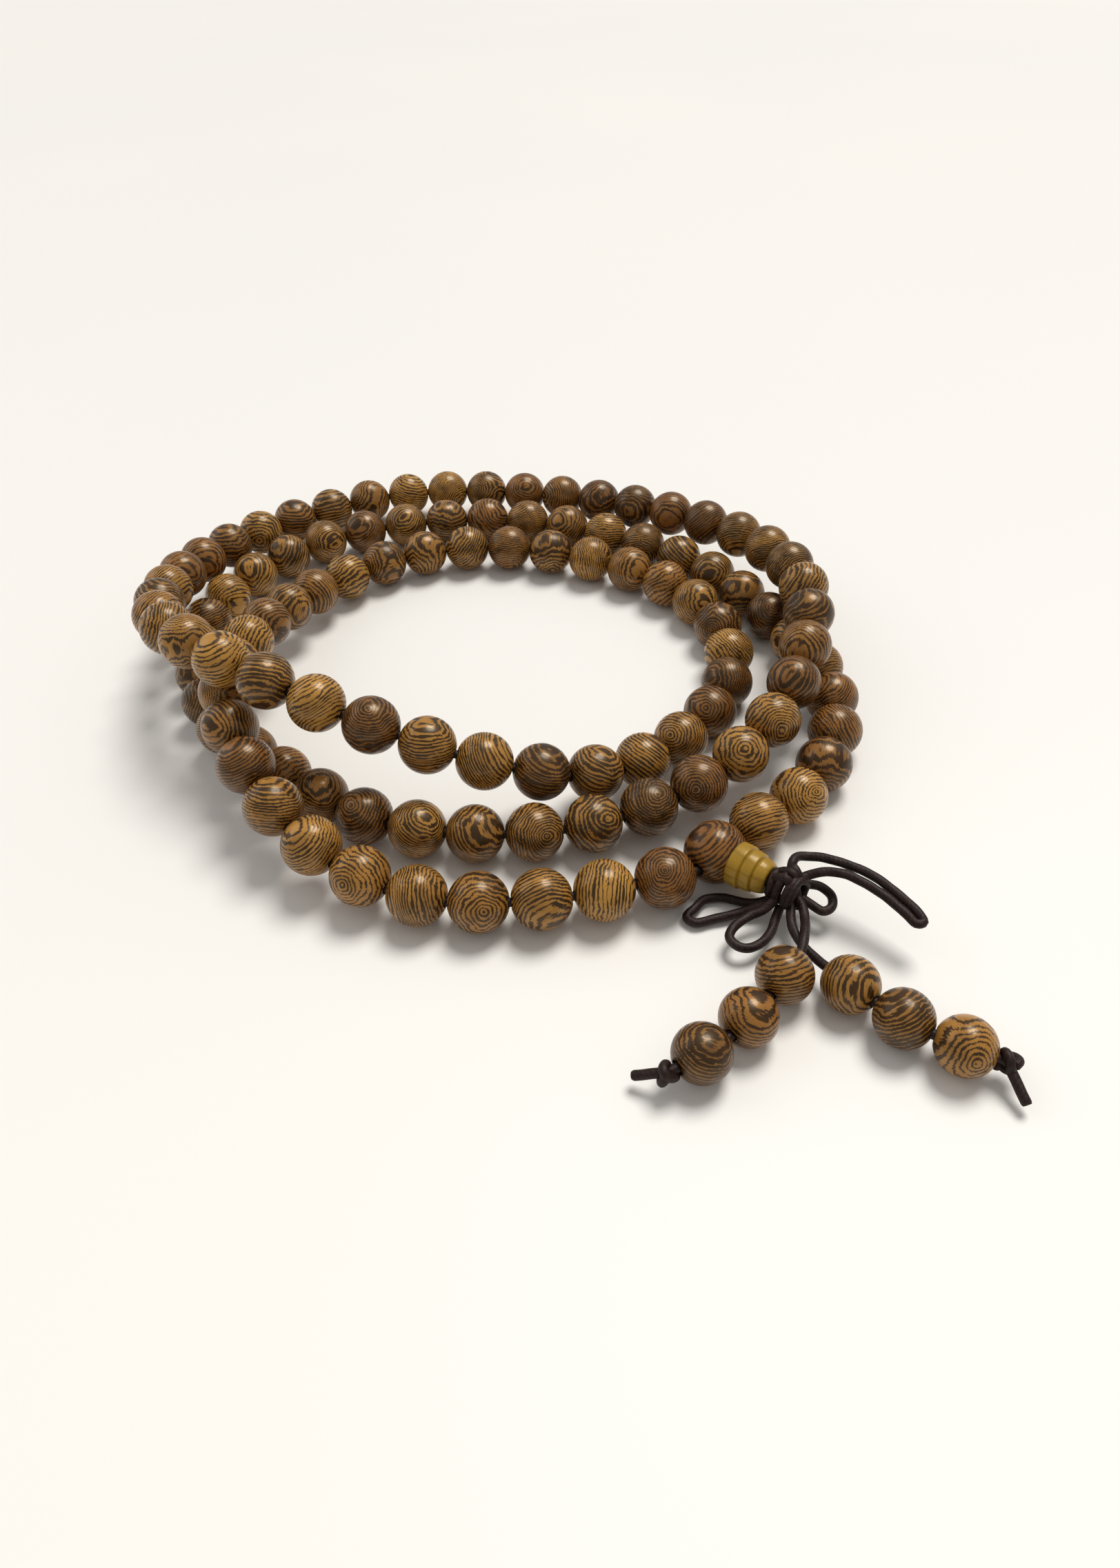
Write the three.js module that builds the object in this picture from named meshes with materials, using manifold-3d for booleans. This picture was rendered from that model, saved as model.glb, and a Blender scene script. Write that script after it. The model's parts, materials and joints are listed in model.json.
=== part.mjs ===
// A string of wooden prayer beads, laid on a table in three turns.
// One closed loop of equal beads on a waxed cord meets in a larger T-drilled guru bead.
// Both cord ends leave the guru through a three-tier tower bead, are tied in a bow knot
// with four loops, and run on as two short tails, each with three smaller counter beads.
// Millimetres, +Z up. The origin is under the middle of the object, on the table.
import * as THREE from "three";
import { mergeVertices } from "three/addons/utils/BufferGeometryUtils.js";
import Module from "manifold-3d";

const wasm = await Module();
wasm.setup();

// ---- driving dimensions (mm) ----
const bead_count = 108; // equal beads between the two side holes of the guru
const bead_d = 8; // outside diameter of a bead
const bore_d = 1.8; // drilled hole of a bead
const bead_slack = 0.05; // free length on the cord for each bead
const cord_d = 1.2; // waxed cord
const guru_d = 8.4; // guru bead
const guru_bore_d = 2.2; // its through hole
const outlet_d = 2.7; // its front hole, where both cord ends leave
const counter_d = 7; // counter beads on the tails
const counter_bore_d = 1.8;
const counters_each = 3; // counter beads on each tail
const tower_l = 4.75; // tower bead, from its seat's rim to its neck
const tower_d = 6; // across its widest tier
const neck_d = 3.8; // across its neck
const seat_gap = 0.35; // between the guru and the tower's seat
const knot_d = 5.4; // bow knot, across
const knot_h = 4.6; // bow knot, along the cord
const end_knot_d = 2.6; // stopper knot at the end of a tail
const end_knot_face = 0.6; // its end faces, as a share of its width
const end_knot_belly = 0.4; // length of its widest part, as a share
const clearance = 0.3; // between pieces that touch
const guru_gap = 0.5; // cord seen between the guru and the bead on either side
const pendant_cord_d = 2.1; // both cord ends side by side, through the tower
const sleeve_d = 3; // rims of joined beads
const sleeve_lap = 0.4; // how far a sleeve reaches into each bead
const tower_lip = 0.15; // step in from the widest tier to the seat's rim
const tower_tiers = [
  [1, 0.16], [0.97, 0.3], [0.85, 0.37], [0.93, 0.45], [0.88, 0.6], [0.76, 0.67],
  [0.82, 0.74], [0.7, 0.9],
]; // diameter and length shares of the three tiers, from the seat to the neck
const knot_face = 0.55; // knot's end faces, as a share of its width
const knot_belly = 0.45; // length of its widest part, as a share

// ---- how finely the solids are cut ----
const bead_sides = 10;
const cord_sides = 8;
const cord_step = 2; // length of one straight piece of a free cord
const tower_sides = 14;
const bead_rings = [[11, 1], [46, 0.7]]; // latitude of each ring, and how far it is opened out
const corner_merge = 1e-4; // corners nearer than this are one
const length_samples = 100; // samples for each stretch of a curve when its length is measured
const fitting_rounds = 6; // times the turns are resized to the beads

// ---- where the pieces lie, for beads of the size above ----
const guru_at = new THREE.Vector3(29, -35.5, 4.2);
const guru_heading = 47; // degrees from +X to the through hole
const tower_heading = -42; // degrees from +X to the tower, in plan
const tower_lift = 1.5; // degrees that the tower's nose is raised
const nominal_bead_d = 8; // bead size that the route's points are given for

// The strand, from the guru's right side hole, three turns round, to its left side hole.
const route = [
  // right side, on the table
  [41.9, -25.9, 4], [50.4, -11.4, 4], [50.9, 4.6, 4], [45.4, 20.1, 4], [37.9, 34.1, 4],
  // back, middle of the three turns
  [26.4, 45.1, 4.2], [12.4, 53.1, 4.3], [-3.1, 57.6, 4.2], [-19.1, 57.1, 4], [-34.1, 52.1, 4],
  // left side, lowest layer
  [-45.6, 40.6, 4], [-51.1, 25.6, 4], [-48.6, 10.1, 4], [-42.1, -4.4, 4], [-30.6, -15.9, 4.3],
  // front, middle of the three turns
  [-18.1, -25.9, 4.3], [-2.6, -29.9, 4], [13.4, -29.4, 4.4], [28.4, -23.9, 5.7], [40.4, -13.4, 7.9],
  // right side, lying on the first turn
  [47.4, 0.6, 10.8], [50.4, 16.6, 11.4], [47.4, 32.1, 9.5], [38.4, 45.1, 8],
  // back, outermost
  [25.9, 55.6, 6.5], [12.4, 63.6, 5.1], [-3.1, 68.6, 4.5], [-19.1, 69.6, 4.3], [-34.1, 64.1, 4.4],
  // left side, rising onto the pile
  [-46.1, 53.6, 5.8], [-53.6, 39.6, 8.3], [-55.1, 24.1, 11.9], [-51.6, 8.6, 16.2], [-43.1, -4.4, 20.2],
  // front, innermost, coming down
  [-30.1, -13.9, 19.3], [-15.6, -19.4, 15], [-0.6, -22.4, 10.2], [14.4, -20.9, 5.7],
  // right side, innermost, on the table
  [27.4, -11.9, 4], [36.4, 1.6, 4], [36.9, 17.6, 4], [29.4, 31.6, 4],
  // back, innermost
  [16.4, 41.1, 4], [1.4, 46.6, 4], [-14.6, 46.1, 4], [-28.1, 38.1, 4.3],
  // left side, middle layer of the pile
  [-36.1, 24.1, 7.1], [-39.1, 9.1, 11], [-39.1, -6.9, 12.6], [-33.6, -21.9, 11.3],
  // front, outermost
  [-23.6, -33.9, 6.8], [-9.6, -40.9, 4], [6.4, -42.4, 4.2],
].map((p) => new THREE.Vector3(...p));

// Loops of the bow, measured from the middle of the knot; each starts and ends inside it.
const loop_routes = {
  long_left_loop: [
    [-1.4, 0.3, -1.3], [-2.5, 0.6, -2.8], [-4.6, 1.2, -3.7], [-7.4, 2.2, -3.7], [-9.9, 2.1, -3.7],
    [-11.4, 0.6, -3.6], [-12.6, -0.7, -3.7], [-11.7, -1.7, -3.7], [-9.1, -1.2, -3.7],
    [-5.7, -0.7, -3.3], [-3.4, -0.6, -2.4], [-1.6, -0.6, -1.4],
  ],
  low_left_loop: [
    [-1.5, -1.1, -0.6], [-3.3, -2.1, -1.4], [-5, -2.6, -1.8], [-7.2, -4.1, -2], [-8, -5.7, -2.1],
    [-7.2, -7, -2.2], [-5.7, -7.2, -2.4], [-3.9, -6.2, -2.5], [-2.6, -4.5, -2.6],
    [-1.8, -2.8, -2.4], [-1, -1.4, -1.6],
  ],
  small_right_loop: [
    [1.3, 0.8, -0.3], [3, 1.1, -0.6], [4.5, 0.8, -0.9], [5.5, -0.5, -1.1], [5.3, -2.1, -1.3],
    [4.1, -2.8, -1.4], [2.9, -1.8, -1.3], [1.5, -0.8, -0.8],
  ],
  long_right_loop: [
    [-0.5, 1.4, 1.4], [0.2, 2.8, 1.8], [1.4, 4.1, 1.8], [3.1, 4.3, 2.1], [5.6, 2.6, 2.6],
    [8.6, 0.7, 2.6], [11.5, -2.7, 2.1], [13.3, -5.3, 1.4], [14.1, -6.7, 1], [13.1, -7.3, 1],
    [11.7, -5.7, 1.5], [9.7, -2.9, 2.1], [7.3, -0.7, 2.5], [5.1, 0.4, 2.4], [2.8, 0.6, 1.9],
    [0.4, 0.6, 0.8],
  ],
};

// Tails, from inside the knot: x and y from its middle, heights from the table.
const counter_rest = counter_d / 2;
const tail_routes = {
  left: [
    [1, -1, 4.2], [1.4, -2.5, 3.9], [1.3, -4.8, 3.8], [0.6, -7.5, 4.4], [-0.2, -9.8, 4.1],
    [-2.7, -12.9, counter_rest], [-8, -18.6, counter_rest], [-13.7, -23.3, counter_rest],
    [-17.5, -24.7, counter_rest], [-19.5, -25.1, 2.8], [-29, -26, 2.6],
  ],
  right: [
    [0.2, -1.2, 3.8], [0, -2.6, 3.4], [-0.2, -4.9, 3], [0.4, -7.4, 2.8], [1.4, -9.5, 2.9],
    [2.5, -11.4, 3.2], [5, -14.9, counter_rest], [9.4, -19.6, counter_rest],
    [14.7, -23.3, counter_rest], [17.9, -24.7, counter_rest], [20, -25.5, 2.8], [30, -28, 2.6],
  ],
};
const tail_leads = { left: 9.4, right: 11.1 }; // cord from the knot's middle to the first counter
const tail_spreads = { left: 0.5, right: 0.05 }; // free length for each counter bead
const cut_ends = { left: 2.8, right: 3.5 }; // cord left past a stopper knot
const cut_end_headings = { left: [-3.4, 0.8, -1.6], right: [1, -4.1, -1.5] };

// Beads that are separate pieces of their own are the first ones, a few part way round and
// the last ones, counted from the guru's right side hole. The others are joined in short runs.
const loose_first = 4;
const loose_middle = { from: 33, to: 36 };
const loose_last = 8;
const run_size = 4; // beads in a run, at most

// ---- colours ----
const wood_light = new THREE.Color(0x9c6a3c);
const wood_dark = new THREE.Color(0x6b4023);
const tower_colour = 0x8f7a1e;
const cord_colour = 0x2b1b17;

function woodMaterial(number) {
  const tint = 0.5 + 0.5 * Math.sin(number * 2.4);
  return new THREE.MeshStandardMaterial({
    color: wood_dark.clone().lerp(wood_light, tint),
    roughness: 0.38,
    metalness: 0,
  });
}

function cordMaterial() {
  return new THREE.MeshStandardMaterial({ color: cord_colour, roughness: 0.6, metalness: 0 });
}

// ---- solids ----
function toSolid(geometry) {
  const bare = geometry.index ? geometry.toNonIndexed() : geometry.clone();
  bare.deleteAttribute("normal");
  bare.deleteAttribute("uv");
  const merged = mergeVertices(bare, corner_merge);
  return new wasm.Manifold(
    new wasm.Mesh({
      numProp: 3,
      vertProperties: merged.attributes.position.array,
      triVerts: new Uint32Array(merged.index.array),
    }),
  );
}

function toGeometry(solid) {
  const mesh = solid.getMesh();
  const geometry = new THREE.BufferGeometry();
  geometry.setAttribute("position", new THREE.BufferAttribute(mesh.vertProperties, 3));
  geometry.setIndex(new THREE.BufferAttribute(mesh.triVerts, 1));
  geometry.computeVertexNormals();
  return geometry;
}

// A turned solid about Y; the profile is [radius, height] pairs, and a flat faces +Z.
function turned(profile, sides) {
  const points = profile.map(([r, y]) => new THREE.Vector2(r, y));
  return new THREE.LatheGeometry(points, sides, -Math.PI / sides, 2 * Math.PI);
}

// Rings of a bead from its lower rim to its upper, as radius and height. They are opened
// out a little so that the flat sides leave the bead its full volume.
function beadRings(outside_d, rim_r) {
  const sphere_r = outside_d / 2;
  const opened_r = sphere_r / Math.sqrt(Math.cos(Math.PI / bead_sides));
  const upper = [];
  for (const [latitude, opening] of bead_rings) {
    const angle = THREE.MathUtils.degToRad(latitude);
    const ring_r = THREE.MathUtils.lerp(sphere_r, opened_r, opening);
    upper.push([ring_r * Math.cos(angle), sphere_r * Math.sin(angle)]);
  }
  upper.push([rim_r, Math.sqrt(sphere_r ** 2 - rim_r ** 2)]);
  const lower = upper.map(([r, y]) => [r, -y]).reverse();
  return [...lower, ...upper];
}

// A drilled bead about Y. The wall of its bore closes the profile.
function drilledBead(outside_d, hole_d) {
  const bore_r = hole_d / 2 / Math.cos(Math.PI / bead_sides);
  const rings = beadRings(outside_d, bore_r);
  return turned([...rings, rings[0]], bead_sides);
}

// Half the length of a drilled bead, from its middle to the rim of its hole.
function halfLength(outside_d, hole_d) {
  return Math.sqrt((outside_d / 2) ** 2 - (hole_d / 2) ** 2);
}

// The frame of a bead: Y along the cord, Z as near to straight up as that allows.
function beadFrame(centre, axis) {
  const y = axis.clone().normalize();
  const up = new THREE.Vector3(0, 0, 1);
  const z = up.addScaledVector(y, -up.dot(y)).normalize();
  const x = new THREE.Vector3().crossVectors(y, z);
  return new THREE.Matrix4().makeBasis(x, y, z).setPosition(centre);
}

// A path of straight pieces through given points, with one step for each piece.
class PointPath extends THREE.Curve {
  constructor(points) {
    super();
    this.points = points;
  }
  getPoint(t, target = new THREE.Vector3()) {
    const place = t * (this.points.length - 1);
    const piece = Math.min(Math.floor(place), this.points.length - 2);
    return target.lerpVectors(this.points[piece], this.points[piece + 1], place - piece);
  }
  getPointAt(u, target) {
    return this.getPoint(u, target);
  }
  getTangentAt(u, target = new THREE.Vector3()) {
    const last = this.points.length - 1;
    const corner = Math.round(u * last);
    const before = this.points[Math.max(corner - 1, 0)];
    const after = this.points[Math.min(corner + 1, last)];
    return target.subVectors(after, before).normalize();
  }
}

function circleShape(radius, sides) {
  const corners = [];
  for (let side = 0; side < sides; side++) {
    const angle = ((side + 0.5) / sides) * 2 * Math.PI;
    corners.push(new THREE.Vector2(radius * Math.cos(angle), radius * Math.sin(angle)));
  }
  return new THREE.Shape(corners);
}

function cordTube(points, diameter) {
  return new THREE.ExtrudeGeometry(circleShape(diameter / 2, cord_sides), {
    steps: points.length - 1,
    extrudePath: new PointPath(points),
    bevelEnabled: false,
  });
}

// Points along a curve from one length to another, about one cord step apart.
function pointsAlong(curve, from, to) {
  const total = curve.getLength();
  const pieces = Math.max(1, Math.round((to - from) / cord_step));
  const points = [];
  for (let i = 0; i <= pieces; i++) {
    const share = (from + ((to - from) * i) / pieces) / total;
    points.push(curve.getPointAt(Math.min(share, 1)));
  }
  return points;
}

function smoothCurve(points) {
  const curve = new THREE.CatmullRomCurve3(points, false, "centripetal");
  curve.arcLengthDivisions = length_samples * points.length;
  return curve;
}

function addMesh(group, name, geometry, material) {
  const mesh = new THREE.Mesh(geometry, material);
  mesh.name = name;
  group.add(mesh);
  return mesh;
}

// ---- the strand ----
const pitch = bead_d + bead_slack;
const straight_pitch = 2 * bead_d; // beads of a run while it is turned straight
const guru_half = halfLength(guru_d, guru_bore_d);
const guru_axis = new THREE.Vector3(1, 0, 0).applyAxisAngle(
  new THREE.Vector3(0, 0, 1),
  THREE.MathUtils.degToRad(guru_heading),
);

function guruCentre(scale) {
  return new THREE.Vector3(guru_at.x * scale, guru_at.y * scale, guru_d / 2);
}

function strandCurve(scale) {
  const centre = guruCentre(scale);
  const reach = guru_half + guru_gap;
  const start = centre.clone().addScaledVector(guru_axis, reach);
  const end = centre.clone().addScaledVector(guru_axis, -reach);
  return smoothCurve([start, ...route.map((p) => p.clone().multiplyScalar(scale)), end]);
}

// The turns grow or shrink until the beads just fill them.
let turn_scale = bead_d / nominal_bead_d;
for (let round = 0; round < fitting_rounds; round++) {
  turn_scale *= (bead_count * pitch) / strandCurve(turn_scale).getLength();
}
const strand = strandCurve(turn_scale);
const guru_centre = guruCentre(turn_scale);
const joints_on_strand = [];
for (let bead = 0; bead <= bead_count; bead++) {
  joints_on_strand.push(strand.getPointAt(bead / bead_count));
}

// Bead 1 is the first past the guru's right side hole.
export function mainBead(number) {
  const before = joints_on_strand[number - 1];
  const after = joints_on_strand[number];
  return {
    centre: before.clone().lerp(after, 0.5),
    axis: after.clone().sub(before).normalize(),
  };
}

const mala = new THREE.Group();
mala.name = "prayer_beads";
const bead_geometry = drilledBead(bead_d, bore_d);

function beadName(number) {
  return String(number).padStart(3, "0");
}

function addLooseBead(number) {
  const { centre, axis } = mainBead(number);
  const mesh = addMesh(mala, `bead_${beadName(number)}`, bead_geometry, woodMaterial(number));
  mesh.applyMatrix4(beadFrame(centre, axis));
}

// A short run of beads that stay together, rim joined to rim round the cord. It is turned
// straight, then each bead's rings move to that bead's own place on the strand.
function addBeadRun(from, size) {
  const bore_r = bore_d / 2 / Math.cos(Math.PI / bead_sides);
  const outer = beadRings(bead_d, sleeve_d / 2);
  const [, end_y] = beadRings(bead_d, bore_r).pop();
  const wall_y = end_y - sleeve_lap;
  const profile = [[bore_r, -end_y]];
  for (let i = 0; i < size; i++) {
    const rings = outer.slice(i === 0 ? 1 : 0, i === size - 1 ? -1 : undefined);
    profile.push(...rings.map(([r, y]) => [r, y + i * straight_pitch]));
  }
  profile.push([bore_r, end_y + (size - 1) * straight_pitch]);
  for (let i = size - 1; i > 0; i--) {
    profile.push([bore_r, i * straight_pitch - wall_y]);
    profile.push([bore_r, (i - 1) * straight_pitch + wall_y]);
  }
  profile.push(profile[0]);
  const geometry = turned(profile, bead_sides);
  const position = geometry.getAttribute("position");
  const point = new THREE.Vector3();
  for (let v = 0; v < position.count; v++) {
    point.fromBufferAttribute(position, v);
    const i = Math.round(point.y / straight_pitch);
    point.y -= i * straight_pitch;
    const { centre, axis } = mainBead(from + i);
    point.applyMatrix4(beadFrame(centre, axis));
    position.setXYZ(v, point.x, point.y, point.z);
  }
  const name = `beads_${beadName(from)}_${beadName(from + size - 1)}`;
  addMesh(mala, name, geometry, woodMaterial(from));
}

function isLoose(number) {
  const at_an_end = number <= loose_first || number > bead_count - loose_last;
  return at_an_end || (number >= loose_middle.from && number <= loose_middle.to);
}

for (let number = 1; number <= bead_count; ) {
  if (isLoose(number)) {
    addLooseBead(number);
    number += 1;
    continue;
  }
  let size = 1;
  while (size < run_size && !isLoose(number + size)) size += 1;
  addBeadRun(number, size);
  number += size;
}

// The cord through every bead; both ends stop inside the guru, beside the pendant cord.
const into_guru = cord_d + clearance;
const string_points = [
  guru_centre.clone().addScaledVector(guru_axis, into_guru / 2),
  guru_centre.clone().addScaledVector(guru_axis, guru_half),
  ...joints_on_strand,
  guru_centre.clone().addScaledVector(guru_axis, -guru_half),
  guru_centre.clone().addScaledVector(guru_axis, -into_guru / 2),
];
addMesh(mala, "stringing_cord", cordTube(string_points, cord_d), cordMaterial());

// ---- guru, tower, knot ----
const lift = THREE.MathUtils.degToRad(tower_lift);
const heading = THREE.MathUtils.degToRad(tower_heading);
const outward = new THREE.Vector3(
  Math.cos(lift) * Math.cos(heading),
  Math.cos(lift) * Math.sin(heading),
  Math.sin(lift),
);

// A turned solid whose profile heights run outward from the middle of the guru.
function onOutlet(profile, sides) {
  const geometry = turned(profile, sides);
  return geometry.applyMatrix4(beadFrame(guru_centre, outward));
}

function cylinderProfile(radius, from, to) {
  return [[0, from], [radius, from], [radius, to], [0, to]];
}

const outlet_r = outlet_d / 2;
const guru_bead = toSolid(
  drilledBead(guru_d, guru_bore_d).applyMatrix4(beadFrame(guru_centre, guru_axis)),
);
const outlet = toSolid(onOutlet(cylinderProfile(outlet_r, 0, guru_d), bead_sides));
const guru_geometry = toGeometry(guru_bead.subtract(outlet));
addMesh(mala, "guru_bead", guru_geometry, woodMaterial(0));

// Distance from the middle of the guru to the tower's seat at a given radius.
function seatAt(radius) {
  return Math.sqrt((guru_d / 2) ** 2 - radius ** 2) + seat_gap;
}
const tower_r = tower_d / 2;
const rim_r = tower_r - tower_lip;
const tower_from = seatAt(rim_r);
const tower_to = tower_from + tower_l;
const tower_profile = [
  [outlet_r, seatAt(outlet_r)],
  [rim_r, tower_from],
  ...tower_tiers.map(([share_d, share_l]) => [share_d * tower_r, tower_from + share_l * tower_l]),
  [neck_d / 2, tower_to],
  [outlet_r, tower_to],
  [outlet_r, seatAt(outlet_r)],
];
const tower_material = new THREE.MeshStandardMaterial({
  color: tower_colour,
  roughness: 0.35,
  metalness: 0,
});
addMesh(mala, "tower_bead", onOutlet(tower_profile, tower_sides), tower_material);

const knot_from = tower_to + clearance;
const knot_centre = guru_centre.clone().addScaledVector(outward, knot_from + knot_h / 2);
const knot_r = knot_d / 2;

// The knot's outer shape, made larger all over by a margin.
function knotProfile(margin) {
  const half = knot_h / 2 + margin;
  const r = knot_r + margin;
  const middle = knot_from + knot_h / 2;
  return [
    [0, middle - half], [knot_face * r, middle - half], [r, middle - knot_belly * half],
    [r, middle + knot_belly * half], [knot_face * r, middle + half], [0, middle + half],
  ];
}
addMesh(mala, "bow_knot", onOutlet(knotProfile(0), bead_sides), cordMaterial());
const knot_space = toSolid(onOutlet(knotProfile(clearance), bead_sides));

// Both cord ends together, from the guru's middle to the knot.
const pendant_from = cord_d / 2 + clearance;
const pendant_profile = cylinderProfile(pendant_cord_d / 2, pendant_from, tower_to);
addMesh(mala, "pendant_cord", onOutlet(pendant_profile, cord_sides), cordMaterial());

// ---- bow loops ----
function addLoop(name, points) {
  const curve = smoothCurve(points.map((p) => new THREE.Vector3(...p).add(knot_centre)));
  const tube = toSolid(cordTube(pointsAlong(curve, 0, curve.getLength()), cord_d));
  addMesh(mala, name, toGeometry(tube.subtract(knot_space)), cordMaterial());
}
for (const [name, points] of Object.entries(loop_routes)) addLoop(name, points);

// ---- tails ----
function tailPlan(side) {
  const points = tail_routes[side].map(
    ([x, y, height]) => new THREE.Vector3(knot_centre.x + x, knot_centre.y + y, height),
  );
  const curve = smoothCurve(points);
  const total = curve.getLength();
  const counter_pitch = counter_d + tail_spreads[side];
  const joints = [];
  for (let i = 0; i <= counters_each; i++) {
    joints.push(curve.getPointAt((tail_leads[side] + i * counter_pitch) / total));
  }
  const knot_at = tail_leads[side] + counters_each * counter_pitch + end_knot_d / 2;
  return { curve, total, joints, knot_at };
}

export function counterBead(side, index) {
  const { joints } = tailPlan(side);
  return {
    centre: joints[index].clone().lerp(joints[index + 1], 0.5),
    axis: joints[index + 1].clone().sub(joints[index]).normalize(),
  };
}

function addTail(side) {
  const { curve, total, joints, knot_at } = tailPlan(side);
  const lead = pointsAlong(curve, 0, tail_leads[side]);
  const points = [...lead, ...joints.slice(1)];
  const tube = toSolid(cordTube(points, cord_d));
  addMesh(mala, `${side}_tail_cord`, toGeometry(tube.subtract(knot_space)), cordMaterial());

  for (let index = 0; index < counters_each; index++) {
    const { centre, axis } = counterBead(side, index);
    const number = bead_count + index + (side === "left" ? 1 : 1 + counters_each);
    const geometry = drilledBead(counter_d, counter_bore_d);
    const name = `${side}_counter_${index + 1}`;
    addMesh(mala, name, geometry, woodMaterial(number)).applyMatrix4(beadFrame(centre, axis));
  }

  const knot_middle = curve.getPointAt(knot_at / total);
  knot_middle.z = Math.max(knot_middle.z, end_knot_d / 2);
  const along = knot_middle.clone().sub(joints[counters_each]).normalize();
  const r = end_knot_d / 2;
  const h = r - clearance;
  const face_r = end_knot_face * r;
  const belly_h = end_knot_belly * h;
  const ball_profile = [[0, -h], [face_r, -h], [r, -belly_h], [r, belly_h], [face_r, h], [0, h]];
  const ball = toSolid(turned(ball_profile, cord_sides).applyMatrix4(beadFrame(knot_middle, along)));
  const cut_end = new THREE.Vector3(...cut_end_headings[side]).setLength(cut_ends[side] + r);
  const stub = toSolid(cordTube([knot_middle, knot_middle.clone().add(cut_end)], cord_d));
  addMesh(mala, `${side}_end_knot`, toGeometry(ball.add(stub)), cordMaterial());
}
addTail("left");
addTail("right");

// The places and directions that the joints use.
export const pivots = { guru_centre, guru_axis, outward, knot_centre, turn_scale, pitch };

export default mala;
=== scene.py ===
"""Wooden prayer beads on a waxed cord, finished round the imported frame. Metres, +Z up."""

import sys
import json
import logging
import math
import random
from dataclasses import dataclass, field
from enum import Enum

import bmesh
import bpy
import numpy as np
from mathutils import Matrix, Quaternion, Vector

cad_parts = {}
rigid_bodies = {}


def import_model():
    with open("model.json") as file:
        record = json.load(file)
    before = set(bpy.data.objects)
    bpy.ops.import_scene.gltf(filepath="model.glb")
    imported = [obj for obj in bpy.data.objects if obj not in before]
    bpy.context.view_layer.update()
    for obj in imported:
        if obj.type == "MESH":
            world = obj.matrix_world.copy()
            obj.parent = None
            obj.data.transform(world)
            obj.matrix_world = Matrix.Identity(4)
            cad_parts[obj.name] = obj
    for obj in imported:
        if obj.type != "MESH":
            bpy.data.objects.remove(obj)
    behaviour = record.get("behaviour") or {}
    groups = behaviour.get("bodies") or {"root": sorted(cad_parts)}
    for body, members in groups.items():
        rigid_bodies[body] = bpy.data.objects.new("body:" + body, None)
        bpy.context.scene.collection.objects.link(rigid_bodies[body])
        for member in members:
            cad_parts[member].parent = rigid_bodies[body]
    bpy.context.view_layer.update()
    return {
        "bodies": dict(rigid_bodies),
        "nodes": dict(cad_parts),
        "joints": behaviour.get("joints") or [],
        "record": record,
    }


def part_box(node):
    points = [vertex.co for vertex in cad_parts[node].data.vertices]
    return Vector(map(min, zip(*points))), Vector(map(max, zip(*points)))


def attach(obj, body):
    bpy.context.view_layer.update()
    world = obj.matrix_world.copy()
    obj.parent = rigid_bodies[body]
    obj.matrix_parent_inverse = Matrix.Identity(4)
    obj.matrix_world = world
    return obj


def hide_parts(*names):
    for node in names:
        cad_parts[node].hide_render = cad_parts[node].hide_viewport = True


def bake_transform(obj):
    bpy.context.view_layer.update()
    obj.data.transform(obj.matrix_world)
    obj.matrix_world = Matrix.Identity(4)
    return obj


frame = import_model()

MM = 0.001
MERGE_DISTANCE = 0.001 * MM
PATH_STEP = 0.4 * MM
CURVE_STEPS = 24
log = logging.getLogger("prayer_beads")

Colour = tuple[float, float, float, float]
Points = list[Vector]
Route = tuple[tuple[float, float, float], ...]


def colour(code: str) -> Colour:
    """Turn a display colour into the linear one that shaders use.

    Args:
        code: Six hexadecimal digits.

    Returns:
        Red, green, blue and an alpha of 1.
    """
    parts = [int(code[i : i + 2], 16) / 255 for i in (0, 2, 4)]
    linear = [p / 12.92 if p <= 0.04045 else ((p + 0.055) / 1.055) ** 2.4 for p in parts]
    return (linear[0], linear[1], linear[2], 1.0)


# ---------------------------------------------------------------- shader expressions


class Wire:
    """A node's output, which adds Math nodes when it stands in an expression."""

    def __init__(self, shader: "Shader", socket: bpy.types.NodeSocket) -> None:
        """Keep the shader that the socket belongs to."""
        self.shader = shader
        self.socket = socket

    def math(self, operation: str, *values: "Wire | float") -> "Wire":
        """Add one Math node.

        Args:
            operation: The Math node's operation.
            values: Its inputs, in order.

        Returns:
            The node's result.
        """
        inputs = dict(enumerate(values))
        return self.shader.add("ShaderNodeMath", {"operation": operation}, inputs)

    def __add__(self, other: "Wire | float") -> "Wire":
        """Sum."""
        return self.math("ADD", self, other)

    def __radd__(self, other: float) -> "Wire":
        """Sum with a number on the left."""
        return self.math("ADD", other, self)

    def __sub__(self, other: "Wire | float") -> "Wire":
        """Difference."""
        return self.math("SUBTRACT", self, other)

    def __rsub__(self, other: float) -> "Wire":
        """Difference from a number on the left."""
        return self.math("SUBTRACT", other, self)

    def __mul__(self, other: "Wire | float") -> "Wire":
        """Product."""
        return self.math("MULTIPLY", self, other)

    def __rmul__(self, other: float) -> "Wire":
        """Product with a number on the left."""
        return self.math("MULTIPLY", other, self)

    def __truediv__(self, other: "Wire | float") -> "Wire":
        """Quotient."""
        return self.math("DIVIDE", self, other)

    def __rtruediv__(self, other: float) -> "Wire":
        """Quotient with a number on the left."""
        return self.math("DIVIDE", other, self)

    def fract(self) -> "Wire":
        """Keep what is left past the whole number."""
        return self.math("FRACT", self)

    def absolute(self) -> "Wire":
        """Drop the sign."""
        return self.math("ABSOLUTE", self)

    def step(self, low: float, high: float) -> "Wire":
        """Rise smoothly from 0 to 1 between two values.

        Args:
            low: Where the result is still 0.
            high: Where the result is already 1.

        Returns:
            The smoothed step.
        """
        return self.shader.add(
            "ShaderNodeMapRange",
            {"interpolation_type": "SMOOTHSTEP"},
            {0: self, 1: low, 2: high, 3: 0.0, 4: 1.0},
        )


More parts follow.
